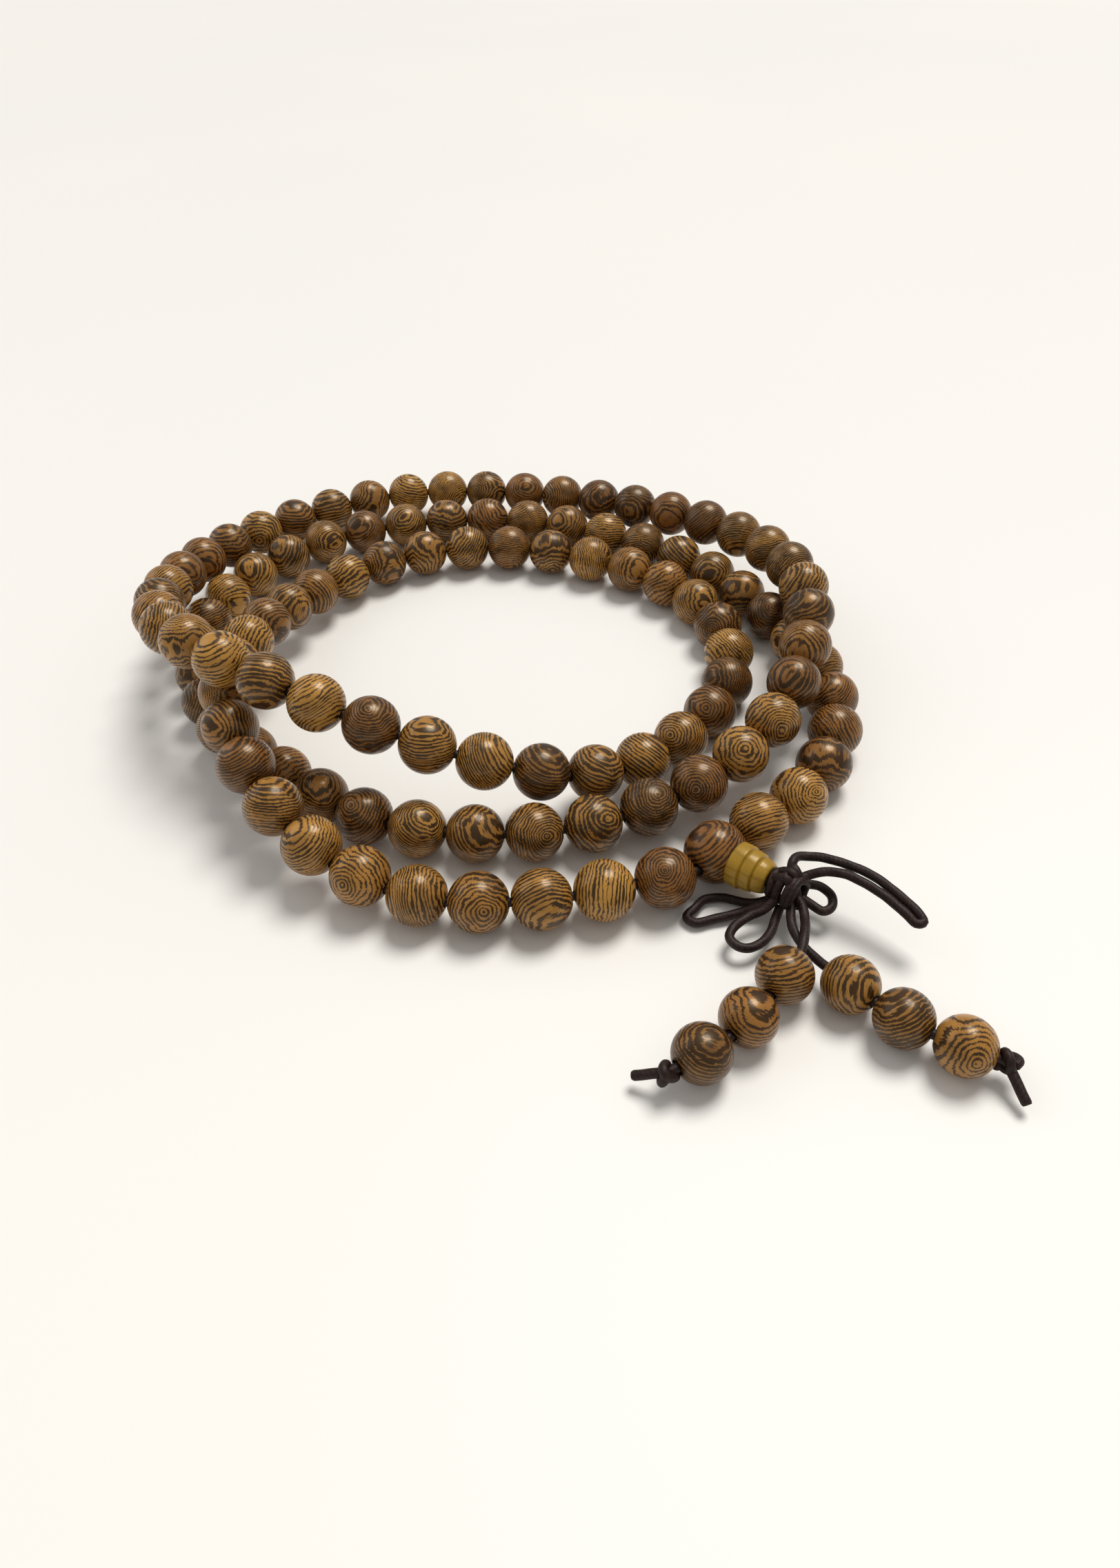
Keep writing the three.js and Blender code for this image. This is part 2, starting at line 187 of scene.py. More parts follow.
class Shader:
    """A material whose nodes come from one method."""

    def __init__(self, name: str) -> None:
        """Start an empty node tree for a material of this name."""
        self.material = bpy.data.materials.new(name)
        self.material.use_nodes = True
        self.tree = self.material.node_tree
        self.tree.nodes.clear()

    def add(
        self,
        kind: str,
        settings: dict[str, object] | None = None,
        inputs: dict[int | str, object] | None = None,
        output: int | str = 0,
    ) -> Wire:
        """Add a node.

        Args:
            kind: The node's type.
            settings: Properties, which are set first.
            inputs: Values or wires for its sockets, by index or name.
            output: The output to return, by index or name.

        Returns:
            That output.
        """
        node = self.tree.nodes.new(kind)
        for key, value in (settings or {}).items():
            setattr(node, key, value)
        for key, value in (inputs or {}).items():
            if isinstance(value, Wire):
                self.tree.links.new(value.socket, node.inputs[key])
            else:
                node.inputs[key].default_value = value
        return Wire(self, node.outputs[output] if node.outputs else None)

    def parts(self, vector: Wire) -> tuple[Wire, Wire, Wire]:
        """Take a vector apart.

        Args:
            vector: The vector.

        Returns:
            Its three values.
        """
        first = self.add("ShaderNodeSeparateXYZ", {}, {0: vector})
        _, second, third = first.socket.node.outputs
        return first, Wire(self, second), Wire(self, third)

    def mix(self, share: Wire | float, first: object, second: object) -> Wire:
        """Mix two colours.

        Args:
            share: How much of the second.
            first: Colour or wire.
            second: Colour or wire.

        Returns:
            The mixed colour.
        """
        return self.add(
            "ShaderNodeMix", {"data_type": "RGBA"}, {0: share, 6: first, 7: second}, 2
        )

    def stretch(self, vector: Wire, scale: tuple[float, float, float]) -> Wire:
        """Scale a vector along its axes."""
        return self.add(
            "ShaderNodeVectorMath", {"operation": "MULTIPLY"}, {0: vector, 1: scale}
        )

    def noise(self, vector: Wire, scale: float, detail: float = 2.0) -> Wire:
        """Add noise of a given scale, from 0 to 1."""
        return self.add(
            "ShaderNodeTexNoise", {}, {"Vector": vector, "Scale": scale, "Detail": detail}
        )

    def attribute(self, name: str, output: str) -> Wire:
        """Read a mesh attribute."""
        return self.add("ShaderNodeAttribute", {"attribute_name": name}, {}, output)

    def bump(self, height: Wire, depth_mm: float, strength: float) -> Wire:
        """Turn a height into a relief of a given depth and strength."""
        inputs = {"Strength": strength, "Distance": depth_mm * MM, "Height": height}
        return self.add("ShaderNodeBump", {}, inputs)

    def finish(self, inputs: dict[str, object]) -> bpy.types.Material:
        """Close the tree with the main shader.

        Args:
            inputs: The main shader's values and wires, by name.

        Returns:
            The material.
        """
        surface = self.add("ShaderNodeBsdfPrincipled", {}, inputs)
        self.add("ShaderNodeOutputMaterial", {}, {"Surface": surface})
        return self.material


# ---------------------------------------------------------------- finishes


@dataclass(frozen=True)
class StripedWood:
    """Polished wood whose growth layers show as fine dark stripes.

    It reads three attributes of the mesh: grain, a place in the log in millimetres with the
    fibres along its first axis; tint, three shares that differ from bead to bead; and rim, high
    in the bore, where shade is painted darker.
    """

    name: str
    golden: Colour
    reddish: Colour
    greyed: Colour
    stripe: Colour
    deep_stripe_and_bore_shade: Colour
    layer_mm: float = 0.45
    broad_sway_mm: float = 2.6
    fine_sway_mm: float = 0.5
    stripe_share: float = 0.54
    stripe_softness: float = 0.26
    stripe_depth: float = 0.95
    pore_depth: float = 0.5
    bore_shade_depth: float = 0.75
    relief_mm: float = 0.03
    relief_strength: float = 0.22
    roughness: float = 0.31
    coat: float = 0.22
    coat_roughness: float = 0.14
    highlight: Colour = (1.0, 0.74, 0.45, 1.0)

    def material(self) -> bpy.types.Material:
        """Build the material.

        Returns:
            The material, for any mesh that carries both attributes.
        """
        s = Shader(self.name)
        grain = s.attribute("grain", "Vector")
        warm, dark, spread = s.parts(s.attribute("tint", "Vector"))

        # Distance from the pith, wandering a little, counts the growth layers.
        across = s.stretch(grain, (0.0, 1.0, 1.0))
        radius = s.add("ShaderNodeVectorMath", {"operation": "LENGTH"}, {0: across}, 1)
        along = s.stretch(grain, (0.4, 1.0, 1.0))
        broad = s.noise(along, 0.16, 2.0) * self.broad_sway_mm
        sway = broad + s.noise(along, 0.9, 3.0) * self.fine_sway_mm
        layers = (radius + sway) / (self.layer_mm * (0.7 + spread * 0.75))
        uneven = s.noise(s.stretch(grain, (0.08, 0.5, 0.5)), 1.0, 1.0) * 1.6
        ridge = ((layers + uneven).fract() - 0.5).absolute() * 2.0

        # Fibres break the stripes up and make them thick and thin.
        fibre = s.noise(s.stretch(grain, (0.55, 5.0, 5.0)), 1.0, 3.0)
        patch = s.noise(s.stretch(grain, (0.35, 1.0, 1.0)), 0.7, 2.0)
        edge = ridge + (fibre - 0.5) * 1.5 + (patch - 0.5) * 1.2 + (dark - 0.5) * 0.3
        low = 1.0 - self.stripe_share - self.stripe_softness / 2
        stripe = edge.step(low, low + self.stripe_softness)
        pore_noise = s.noise(s.stretch(grain, (1.1, 9.0, 9.0)), 1.0, 2.0)
        pore = pore_noise.step(0.6, 0.72)

        # Body colour, from bead to bead and in soft patches on each.
        cloud = s.noise(along, 0.33, 2.0)
        body = s.mix(warm, self.golden, self.reddish)
        body = s.mix((cloud.step(0.4, 0.75) + dark) * 0.45, body, self.greyed)
        ink = s.mix(patch.step(0.35, 0.7), self.stripe, self.deep_stripe_and_bore_shade)
        surface = s.mix(stripe * self.stripe_depth, body, ink)
        surface = s.mix(pore * self.pore_depth, surface, self.stripe)
        # Painted shade: the bore and its mouth are darkened towards the deepest stripe colour, as
        # shade inside the hole.
        rim = s.attribute("rim", "Fac")
        surface = s.mix(rim.step(0.2, 1.0) * self.bore_shade_depth, surface, self.deep_stripe_and_bore_shade)

        relief = stripe * -0.5 - pore * 0.5 + fibre * 0.3
        bump = s.bump(relief, self.relief_mm, self.relief_strength)
        return s.finish(
            {
                "Base Color": surface,
                "Roughness": self.roughness + stripe * 0.1 + (cloud - 0.5) * 0.12,
                "Coat Weight": self.coat,
                "Coat Roughness": self.coat_roughness,
                "Specular IOR Level": 0.5,
                "Specular Tint": self.highlight,
                "Normal": bump,
            }
        )


@dataclass(frozen=True)
class WaxedCord:
    """Dark waxed cord, laid up from fine strands.

    It reads lay, an attribute that holds a place on the cord: round it and along it.
    """

    name: str
    body: Colour
    worn: Colour
    strands: float = 3.0
    turns_per_mm: float = 8.5
    relief_mm: float = 0.05
    relief_strength: float = 0.5
    roughness: float = 0.52
    shine: float = 0.28

    def material(self) -> bpy.types.Material:
        """Build the material.

        Returns:
            The material, for any tube that carries the attribute.
        """
        s = Shader(self.name)
        lay = s.attribute("lay", "Vector")
        strands = s.noise(s.stretch(lay, (2.0, 2.0, 1.1)), 1.6, 3.0)
        wax = s.noise(lay, 0.9, 2.0)
        fuzz = s.noise(s.stretch(lay, (6.0, 6.0, 3.0)), 1.0, 2.0)
        across, up, along = s.parts(lay)
        twist = across.math("ARCTAN2", across, up) * self.strands + along * self.turns_per_mm
        rib = twist.math("SINE", twist)
        tone = strands * 0.45 + wax * 0.5 + rib * 0.05
        relief = strands * 0.5 + fuzz * 0.4 + rib * 0.22
        bump = s.bump(relief, self.relief_mm, self.relief_strength)
        return s.finish(
            {
                "Base Color": s.mix(tone.step(0.38, 0.72), self.body, self.worn),
                "Roughness": self.roughness + (wax - 0.5) * 0.3,
                "Specular IOR Level": self.shine,
                "Normal": bump,
            }
        )


@dataclass(frozen=True)
class TableTop:
    """Smooth off-white table."""

    name: str
    base: Colour
    shade: Colour
    roughness: float = 0.55

    def material(self) -> bpy.types.Material:
        """Build the material.

        Returns:
            The material, which reads the table's own places.
        """
        s = Shader(self.name)
        place = s.add("ShaderNodeTexCoord", {}, {}, "Object")
        cloud = s.noise(place, 3.0, 2.0)
        return s.finish(
            {
                "Base Color": s.mix(cloud.step(0.35, 0.7), self.base, self.shade),
                "Roughness": self.roughness,
            }
        )


class Finish(Enum):
    """The finishes that the object's pieces take."""

    BEAD = StripedWood(
        "striped_bead_wood",
        golden=colour("bd8b40"),
        reddish=colour("8c5a29"),
        greyed=colour("5f4122"),
        stripe=colour("2e1607"),
        deep_stripe_and_bore_shade=colour("160a04"),
    )
    TOWER = StripedWood(
        "olive_tower_wood",
        golden=colour("ab8526"),
        reddish=colour("98721e"),
        greyed=colour("866a1c"),
        stripe=colour("7c5e16"),
        deep_stripe_and_bore_shade=colour("664c0e"),
        layer_mm=1.3,
        stripe_share=0.3,
        stripe_depth=0.4,
        pore_depth=0.3,
        roughness=0.4,
        coat=0.25,
    )
    CORD = WaxedCord("waxed_cord", body=colour("1c0d09"), worn=colour("35201a"))


class Dresser:
    """Makes each finish once and puts it on pieces."""

    def __init__(self) -> None:
        """Start with no material made."""
        self.made: dict[Finish, bpy.types.Material] = {}

    def material(self, finish: Finish) -> bpy.types.Material:
        """Give the material of a finish, made on its first use.

        Args:
            finish: The finish.

        Returns:
            Its material.
        """
        if finish not in self.made:
            self.made[finish] = finish.value.material()
        return self.made[finish]

    def dress(self, piece: bpy.types.Object, finish: Finish) -> bpy.types.Object:
        """Put a finish on the whole of a piece.

        Args:
            piece: A mesh object.
            finish: The finish it takes.

        Returns:
            The piece.
        """
        piece.data.materials.clear()
        piece.data.materials.append(self.material(finish))
        return piece


# ---------------------------------------------------------------- mesh helpers


def add_piece(name: str, mesh: bpy.types.Mesh) -> bpy.types.Object:
    """Put a mesh into the scene as an object at the origin.

    Args:
        name: The object's name.
        mesh: Its mesh.

    Returns:
        The object.
    """
    piece = bpy.data.objects.new(name, mesh)
    bpy.context.scene.collection.objects.link(piece)
    return piece


def smooth_mesh(name: str, points: Points, faces: list[tuple[int, ...]]) -> bpy.types.Mesh:
    """Build a smooth-shaded mesh.

    Args:
        name: The mesh's name.
        points: Its vertices.
        faces: Its faces, as indices that run anticlockwise seen from outside.

    Returns:
        The mesh.
    """
    mesh = bpy.data.meshes.new(name)
    mesh.from_pydata([tuple(p) for p in points], [], faces)
    mesh.polygons.foreach_set("use_smooth", [True] * len(mesh.polygons))
    mesh.update()
    return mesh


def set_vectors(mesh: bpy.types.Mesh, name: str, values: np.ndarray) -> None:
    """Write one vector for each vertex as an attribute."""
    attribute = mesh.attributes.get(name) or mesh.attributes.new(name, "FLOAT_VECTOR", "POINT")
    attribute.data.foreach_set("vector", np.asarray(values, np.float32).ravel())


def turn_profile(
    profile: list[tuple[float, float]], sides: int, place: Matrix, name: str
) -> bpy.types.Mesh:
    """Turn a closed profile about an axis.

    Args:
        profile: Radius and height pairs, anticlockwise with the axis on the left.
        sides: Faces round the axis.
        place: Where the axis, its Z, goes.
        name: The mesh's name.

    Returns:
        The turned mesh.
    """
    points: Points = []
    for side in range(sides):
        angle = 2 * math.pi * side / sides
        for radius, height in profile:
            spot = Vector((radius * math.cos(angle), radius * math.sin(angle), height))
            points.append(place @ spot)
    count = len(profile)
    faces = []
    for side in range(sides):
        here, there = side * count, (side + 1) % sides * count
        for i in range(count):
            j = (i + 1) % count
            faces.append((here + i, there + i, there + j, here + j))
    return smooth_mesh(name, points, faces)


def axis_frame(origin: Vector, axis: Vector) -> Matrix:
    """Give the placement whose Z runs along an axis."""
    turn = axis.to_track_quat("Z", "Y")
    return Matrix.Translation(origin) @ turn.to_matrix().to_4x4()


def rounded_profile(
    corners: list[tuple[float, float, float]], steps: int = 4
) -> list[tuple[float, float]]:
    """Round the corners of a closed profile.

    Args:
        corners: Radius, height and rounding radius of each corner.
        steps: Points on each rounding.

    Returns:
        The rounded profile, in the same order.
    """
    profile: list[tuple[float, float]] = []
    for i, (x, y, rounding) in enumerate(corners):
        corner = Vector((x, y))
        before = Vector(corners[i - 1][:2]) - corner
        after = Vector(corners[(i + 1) % len(corners)][:2]) - corner
        cut = min(rounding, 0.48 * before.length, 0.48 * after.length)
        if cut <= 0:
            profile.append((x, y))
            continue
        start, end = corner + before.normalized() * cut, corner + after.normalized() * cut
        for step in range(steps + 1):
            t = step / steps
            spot = start * (1 - t) ** 2 + corner * (2 * t * (1 - t)) + end * t**2
            profile.append((spot.x, spot.y))
    return profile


def smooth_path(points: Points, step: float) -> Points:
    """Run a smooth curve through points, with knots spaced by the root of their distance.

    Args:
        points: Where it passes.
        step: Distance between the points of the result.

    Returns:
        Points at equal distances along it, both ends among them.
    """
    ends = [2 * points[0] - points[1], *points, 2 * points[-1] - points[-2]]
    fine: Points = []
    for a, b, c, d in zip(ends, ends[1:], ends[2:], ends[3:]):
        gaps = [max((q - p).length, 1e-9) ** 0.5 for p, q in ((a, b), (b, c), (c, d))]
        first = ((b - a) / gaps[0] - (c - a) / (gaps[0] + gaps[1]) + (c - b) / gaps[1]) * gaps[1]
        last = ((c - b) / gaps[1] - (d - b) / (gaps[1] + gaps[2]) + (d - c) / gaps[2]) * gaps[1]
        for i in range(CURVE_STEPS):
            t = i / CURVE_STEPS
            fine.append(
                b * (2 * t**3 - 3 * t**2 + 1)
                + first * (t**3 - 2 * t**2 + t)
                + c * (3 * t**2 - 2 * t**3)
                + last * (t**3 - t**2)
            )
    fine.append(points[-1].copy())
    return even_path(fine, step)


def even_path(points: Points, step: float) -> Points:
    """Space points evenly along straight pieces.

    Args:
        points: The corners of the pieces.
        step: Distance between the points of the result.

    Returns:
        Evenly spaced points, both ends among them.
    """
    place = np.array(points, float)
    lengths = np.concatenate([[0.0], np.cumsum(np.linalg.norm(np.diff(place, axis=0), axis=1))])
    count = max(2, round(lengths[-1] / step)) + 1
    wanted = np.linspace(0, lengths[-1], count)
    columns = [np.interp(wanted, lengths, place[:, k]) for k in range(3)]
    return [Vector(p) for p in zip(*columns)]


def eased_path(corners: Points, reach: float) -> Points:
    """Ease straight pieces round their corners.

    Args:
        corners: The ends of the straight pieces.
        reach: How far from a corner the easing starts.

    Returns:
        An evenly spaced path.
    """
    eased = [corners[0]]
    for before, corner, after in zip(corners, corners[1:], corners[2:]):
        back, on = before - corner, after - corner
        room = min(reach, 0.45 * back.length, 0.45 * on.length)
        start, end = corner + back.normalized() * room, corner + on.normalized() * room
        eased += [start, (start + end) / 4 + corner / 2, end]
    eased.append(corners[-1])
    return even_path(eased, PATH_STEP)


def cut_path(path: Points, distance: float) -> Points:
    """Keep the first stretch of a path.

    Args:
        path: The whole path.
        distance: How much of it to keep.

    Returns:
        Its points up to that distance.
    """
    kept, travelled = [path[0]], 0.0
    for a, b in zip(path, path[1:]):
        travelled += (b - a).length
        if travelled > distance:
            break
        kept.append(b)
    return kept


def path_length(points: Points) -> float:
    """Add up the pieces of a path."""
    return sum((b - a).length for a, b in zip(points, points[1:]))


@dataclass
class CordMaker:
    """Makes lengths of the waxed cord as tubes with the lay of its strands."""

    diameter: float
    sides: int = 16
    step: float = 0.25 * MM
    strands: int = 3
    lay_length: float = 2.6 * MM
    relief: float = 0.055
    mean_swell: float = 0.64
    end_share: float = 0.82

    def tube(self, path: Points, name: str) -> bpy.types.Mesh:
        """Build one length.

        Args:
            path: Its centreline, evenly spaced.
            name: The mesh's name.

        Returns:
            A closed tube with slightly rounded ends.
        """
        points, marks, faces = self._rings(path)
        mesh = smooth_mesh(name, points, faces)
        set_vectors(mesh, "lay", np.array(marks))
        return mesh

    def _rings(
        self, path: Points
    ) -> tuple[Points, list[tuple[float, ...]], list[tuple[int, ...]]]:
        """Lay rings of vertices along a path.

        Args:
            path: The centreline.

        Returns:
            The vertices, their lay marks, and the faces.
        """
        radius = self.diameter / 2
        steps = [(b - a).normalized() for a, b in zip(path, path[1:])]
        between = [(a + b).normalized() for a, b in zip(steps, steps[1:])]
        tangents = [steps[0], *between, steps[-1]]
        side = tangents[0].orthogonal().normalized()
        points: Points = []
        marks: list[tuple[float, ...]] = []
        travelled = 0.0
        last = len(path) - 1
        for i, (spot, tangent) in enumerate(zip(path, tangents)):
            if i:
                travelled += (spot - path[i - 1]).length
                side = tangents[i - 1].rotation_difference(tangent) @ side
            side = (side - tangent * side.dot(tangent)).normalized()
            up = tangent.cross(side)
            blunt = self.end_share if i in (0, last) else 1.0
            for k in range(self.sides):
                angle = 2 * math.pi * k / self.sides
                phase = self.strands * angle - 2 * math.pi * travelled / self.lay_length
                swell = 1 + self.relief * (abs(math.cos(phase / 2)) - self.mean_swell)
                reach = radius * blunt * swell
                beside = spot + side * (reach * math.cos(angle))
                points.append(beside + up * (reach * math.sin(angle)))
                twist = angle - 2 * math.pi * travelled / (self.lay_length * self.strands)
                marks.append((math.cos(twist), math.sin(twist), travelled / MM))
        faces = []
        for i in range(last):
            for k in range(self.sides):
                m = (k + 1) % self.sides
                a, b = i * self.sides, (i + 1) * self.sides
                faces.append((a + k, a + m, b + m, b + k))
        faces.append(tuple(range(self.sides - 1, -1, -1)))
        faces.append(tuple(last * self.sides + k for k in range(self.sides)))
        return points, marks, faces


# ---------------------------------------------------------------- geometry nodes


class NodeTree:
    """A Geometry Nodes tree, built through one method."""

    def __init__(self, name: str) -> None:
        """Start a tree with a geometry input and output.

        Args:
            name: The tree's name.
        """
        self.group = bpy.data.node_groups.new(name, "GeometryNodeTree")
        self.group.is_modifier = True
        self.keys: dict[str, str] = {}
        face = self.group.interface
        face.new_socket("Geometry", in_out="INPUT", socket_type="NodeSocketGeometry")
        face.new_socket("Geometry", in_out="OUTPUT", socket_type="NodeSocketGeometry")
        self.source = self.group.nodes.new("NodeGroupInput")
        self.result = self.group.nodes.new("NodeGroupOutput")

    def size(self, name: str, kind: str) -> bpy.types.NodeSocket:
        """Add a named input.

        Args:
            name: The input's name.
            kind: Its socket type.

        Returns:
            The input as a source inside the tree.
        """
        socket = self.group.interface.new_socket(name, in_out="INPUT", socket_type=kind)
        self.keys[name] = socket.identifier
        return self.source.outputs[name]

    def add(
        self,
        kind: str,
        settings: dict[str, object] | None = None,
        inputs: dict[int | str, object] | None = None,
        output: int | str = 0,
    ) -> bpy.types.NodeSocket:
        """Add a node.

        Args:
            kind: The node's type.
            settings: Properties, which are set first.
            inputs: Values or sockets for its inputs, by index or name.
            output: The output to return.

        Returns:
            That output.
        """
        node = self.group.nodes.new(kind)
        for key, value in (settings or {}).items():
            setattr(node, key, value)
        for key, value in (inputs or {}).items():
            if isinstance(value, bpy.types.NodeSocket):
                self.group.links.new(value, node.inputs[key])
            else:
                node.inputs[key].default_value = value
        return node.outputs[output]

    def math(self, operation: str, *values: object) -> bpy.types.NodeSocket:
        """Add a Math node."""
        return self.add("ShaderNodeMath", {"operation": operation}, dict(enumerate(values)))

    def vector(self, operation: str, *values: object) -> bpy.types.NodeSocket:
        """Add a Vector Math node."""
        return self.add("ShaderNodeVectorMath", {"operation": operation}, dict(enumerate(values)))

    def named(self, name: str) -> bpy.types.NodeSocket:
        """Read a vector attribute."""
        settings = {"data_type": "FLOAT_VECTOR"}
        return self.add("GeometryNodeInputNamedAttribute", settings, {"Name": name})

    def close(self, geometry: bpy.types.NodeSocket) -> None:
        """Join the finished geometry to the output."""
        self.group.links.new(geometry, self.result.inputs[0])

    def run(
        self, host: bpy.types.Object, values: dict[str, object], name: str
    ) -> bpy.types.Mesh:
        """Evaluate the tree on an object and take the result as a plain mesh.

        Args:
            host: The object that carries the starting points.
            values: The inputs' values, by name.
            name: The new mesh's name.

        Returns:
            The mesh; the host and its modifier are gone.
        """
        modifier = host.modifiers.new("nodes", "NODES")
        modifier.node_group = self.group
        for key, value in values.items():
            modifier[self.keys[key]] = value
        bpy.context.view_layer.update()
        depsgraph = bpy.context.evaluated_depsgraph_get()
        mesh = bpy.data.meshes.new_from_object(host.evaluated_get(depsgraph), depsgraph=depsgraph)
        mesh.name = name
        host.modifiers.remove(modifier)
        old = host.data
        bpy.data.objects.remove(host)
        bpy.data.meshes.remove(old)
        return mesh


@dataclass(frozen=True)
class GrainSpot:
    """Where in the log a bead was cut, and its colour.

    fibre and layer are directions in the object's frame; place is in millimetres.
    """

    fibre: Vector
    layer: Vector
    place: Vector
    tint: Vector

    def turn(self) -> Matrix:
        """Give the rotation from the object's frame to the log's."""
        z = self.layer.normalized()
        x = (self.fibre - z * self.fibre.dot(z)).normalized()
        y = z.cross(x)
        return Matrix((x, y, z))

    def at(self, points: np.ndarray, centre: Vector) -> np.ndarray:
        """Place points in the log.

        Args:
            points: Places in the object's frame, in metres.
            centre: The bead's centre.

        Returns:
            Places in the log, in millimetres.
        """
        local = (points - np.array(centre)) / MM
        return local @ np.array(self.turn()).T + np.array(self.place)


@dataclass
class BeadTurner:
    """Turns drilled beads with Geometry Nodes, one on each point of a host.

    The turned mesh carries a mark, rim, for shade painted in the bore: high in the bore, it falls
    to 0 round its mouth.
    """

    sides: int = 44
    arc_points: int = 25
    rim_rounding: float = 0.22 * MM
    rim_points: int = 4
    hub_r: float = 0.001 * MM
    tree: NodeTree = field(init=False)

    # The painted bore shade's mark on the axis, and how much it falls for each bore's width away
    # from the axis.
    BORE_SHADE_START = 2.9
    BORE_SHADE_FALL = 4.4

    def __post_init__(self) -> None:
        """Build the tree."""
        self.tree = self._build()

    def _profile(self, tree: NodeTree, outside: object, bore: object, rim: object) -> object:
        """Draw the closed outline of half a drilled bead.

        Args:
            tree: The tree to add to.
            outside: The outside diameter.
            bore: The bore's diameter.
            rim: The rounding at the bore's rims.

        Returns:
            The outline as a curve.
        """
        opening = tree.math("ARCSINE", tree.math("DIVIDE", bore, outside))
        start = tree.math("SUBTRACT", opening, math.pi / 2)
        sweep = tree.math("SUBTRACT", math.pi, tree.math("MULTIPLY", opening, 2.0))
        arc = tree.add(
            "GeometryNodeCurveArc",
            {"mode": "RADIUS"},
            {
                "Resolution": self.arc_points,
                "Radius": tree.math("DIVIDE", outside, 2.0),
                "Start Angle": start,
                "Sweep Angle": sweep,
            },
        )
        closed = tree.add("GeometryNodeSetSplineCyclic", {}, {"Geometry": arc, "Cyclic": True})
        index = tree.add("GeometryNodeInputIndex")
        at_end = tree.math(
            "ADD",
            tree.math("LESS_THAN", index, 0.5),
            tree.math("GREATER_THAN", index, self.arc_points - 1.5),
        )
        return tree.add(
            "GeometryNodeFilletCurve",
            {"mode": "POLY"},
            {
                "Curve": closed,
                "Count": self.rim_points,
                "Radius": tree.math("MULTIPLY", at_end, rim),
                "Limit Radius": True,
            },
        )

    def _build(self) -> NodeTree:
        """Build the tree that sets beads on points.

        Returns:
            The tree, with inputs for the bead's sizes.
        """
        tree = NodeTree("turned_beads")
        outside = tree.size("Outside Diameter", "NodeSocketFloat")
        bore = tree.size("Bore Diameter", "NodeSocketFloat")
        rim = tree.size("Rim Rounding", "NodeSocketFloat")
        material = tree.size("Material", "NodeSocketMaterial")
        outline = self._profile(tree, outside, bore, rim)

        # The outline is swept round a hub that is too small to show.
        hub = tree.add(
            "GeometryNodeCurvePrimitiveCircle",
            {"mode": "RADIUS"},
            {"Resolution": self.sides, "Radius": self.hub_r},
        )
        hub = tree.add("GeometryNodeSetCurveNormal", {"mode": "Z_UP"}, {"Curve": hub})
        bead = tree.add(
            "GeometryNodeCurveToMesh",
            {},
            {"Curve": hub, "Profile Curve": outline, "Fill Caps": False},
        )
        bead = tree.add("GeometryNodeSetShadeSmooth", {}, {"Geometry": bead, "Shade Smooth": True})

        # How near each point is to the bore, for the shade painted darker in the bore and round its
        # mouth.
        flat = tree.vector("MULTIPLY", tree.add("GeometryNodeInputPosition"), (1.0, 1.0, 0.0))
        distance = tree.add("ShaderNodeVectorMath", {"operation": "LENGTH"}, {0: flat}, 1)
        share = tree.math("DIVIDE", distance, bore)
        fall = tree.math("MULTIPLY", share, self.BORE_SHADE_FALL)
        bore_shade_share = tree.math("SUBTRACT", self.BORE_SHADE_START, fall)
        bead = tree.add(
            "GeometryNodeStoreNamedAttribute",
            {"data_type": "FLOAT", "domain": "POINT"},
            {"Geometry": bead, "Name": "rim", "Value": bore_shade_share},
        )
        aim = tree.add(
            "FunctionNodeAlignRotationToVector", {"axis": "Z"}, {"Vector": tree.named("axis")}
        )
        placed = tree.add(
            "GeometryNodeInstanceOnPoints",
            {},
            {"Points": tree.source.outputs[0], "Instance": bead, "Rotation": aim},
        )
        real = tree.add("GeometryNodeRealizeInstances", {}, {"Geometry": placed})
        inputs = {"Geometry": real, "Material": material}
        tree.close(tree.add("GeometryNodeSetMaterial", {}, inputs))
        return tree

    def turn(
        self,
        name: str,
        centre: Vector,
        axis: Vector,
        outside: float,
        bore: float,
        grain: GrainSpot,
        material: bpy.types.Material,
    ) -> bpy.types.Object:
        """Turn one bead.

        Args:
            name: The piece's name.
            centre: The bead's centre.
            axis: The direction of its bore.
            outside: Its outside diameter.
            bore: Its bore's diameter.
            grain: Where in the log it was cut.
            material: Its finish.

        Returns:
            The bead as a piece.
        """
        point = bpy.data.meshes.new("bead_point")
        point.from_pydata([tuple(centre)], [], [])
        set_vectors(point, "axis", np.array([axis]))
        host = add_piece("bead_host", point)
        sizes = {
            "Outside Diameter": outside,
            "Bore Diameter": bore,
            "Rim Rounding": self.rim_rounding,
            "Material": material,
        }
        mesh = self.tree.run(host, sizes, name)
        face_outwards(mesh)
        mark_grain(mesh, centre, grain)
        return add_piece(name, mesh)


def face_outwards(mesh: bpy.types.Mesh) -> None:
    """Merge doubled vertices of a closed mesh and turn its faces outwards.

    Args:
        mesh: The mesh.
    """
    work = bmesh.new()
    work.from_mesh(mesh)
    bmesh.ops.remove_doubles(work, verts=work.verts, dist=MERGE_DISTANCE)
    bmesh.ops.recalc_face_normals(work, faces=work.faces)
    if work.calc_volume(signed=True) < 0:
        bmesh.ops.reverse_faces(work, faces=work.faces)
    work.to_mesh(mesh)
    work.free()


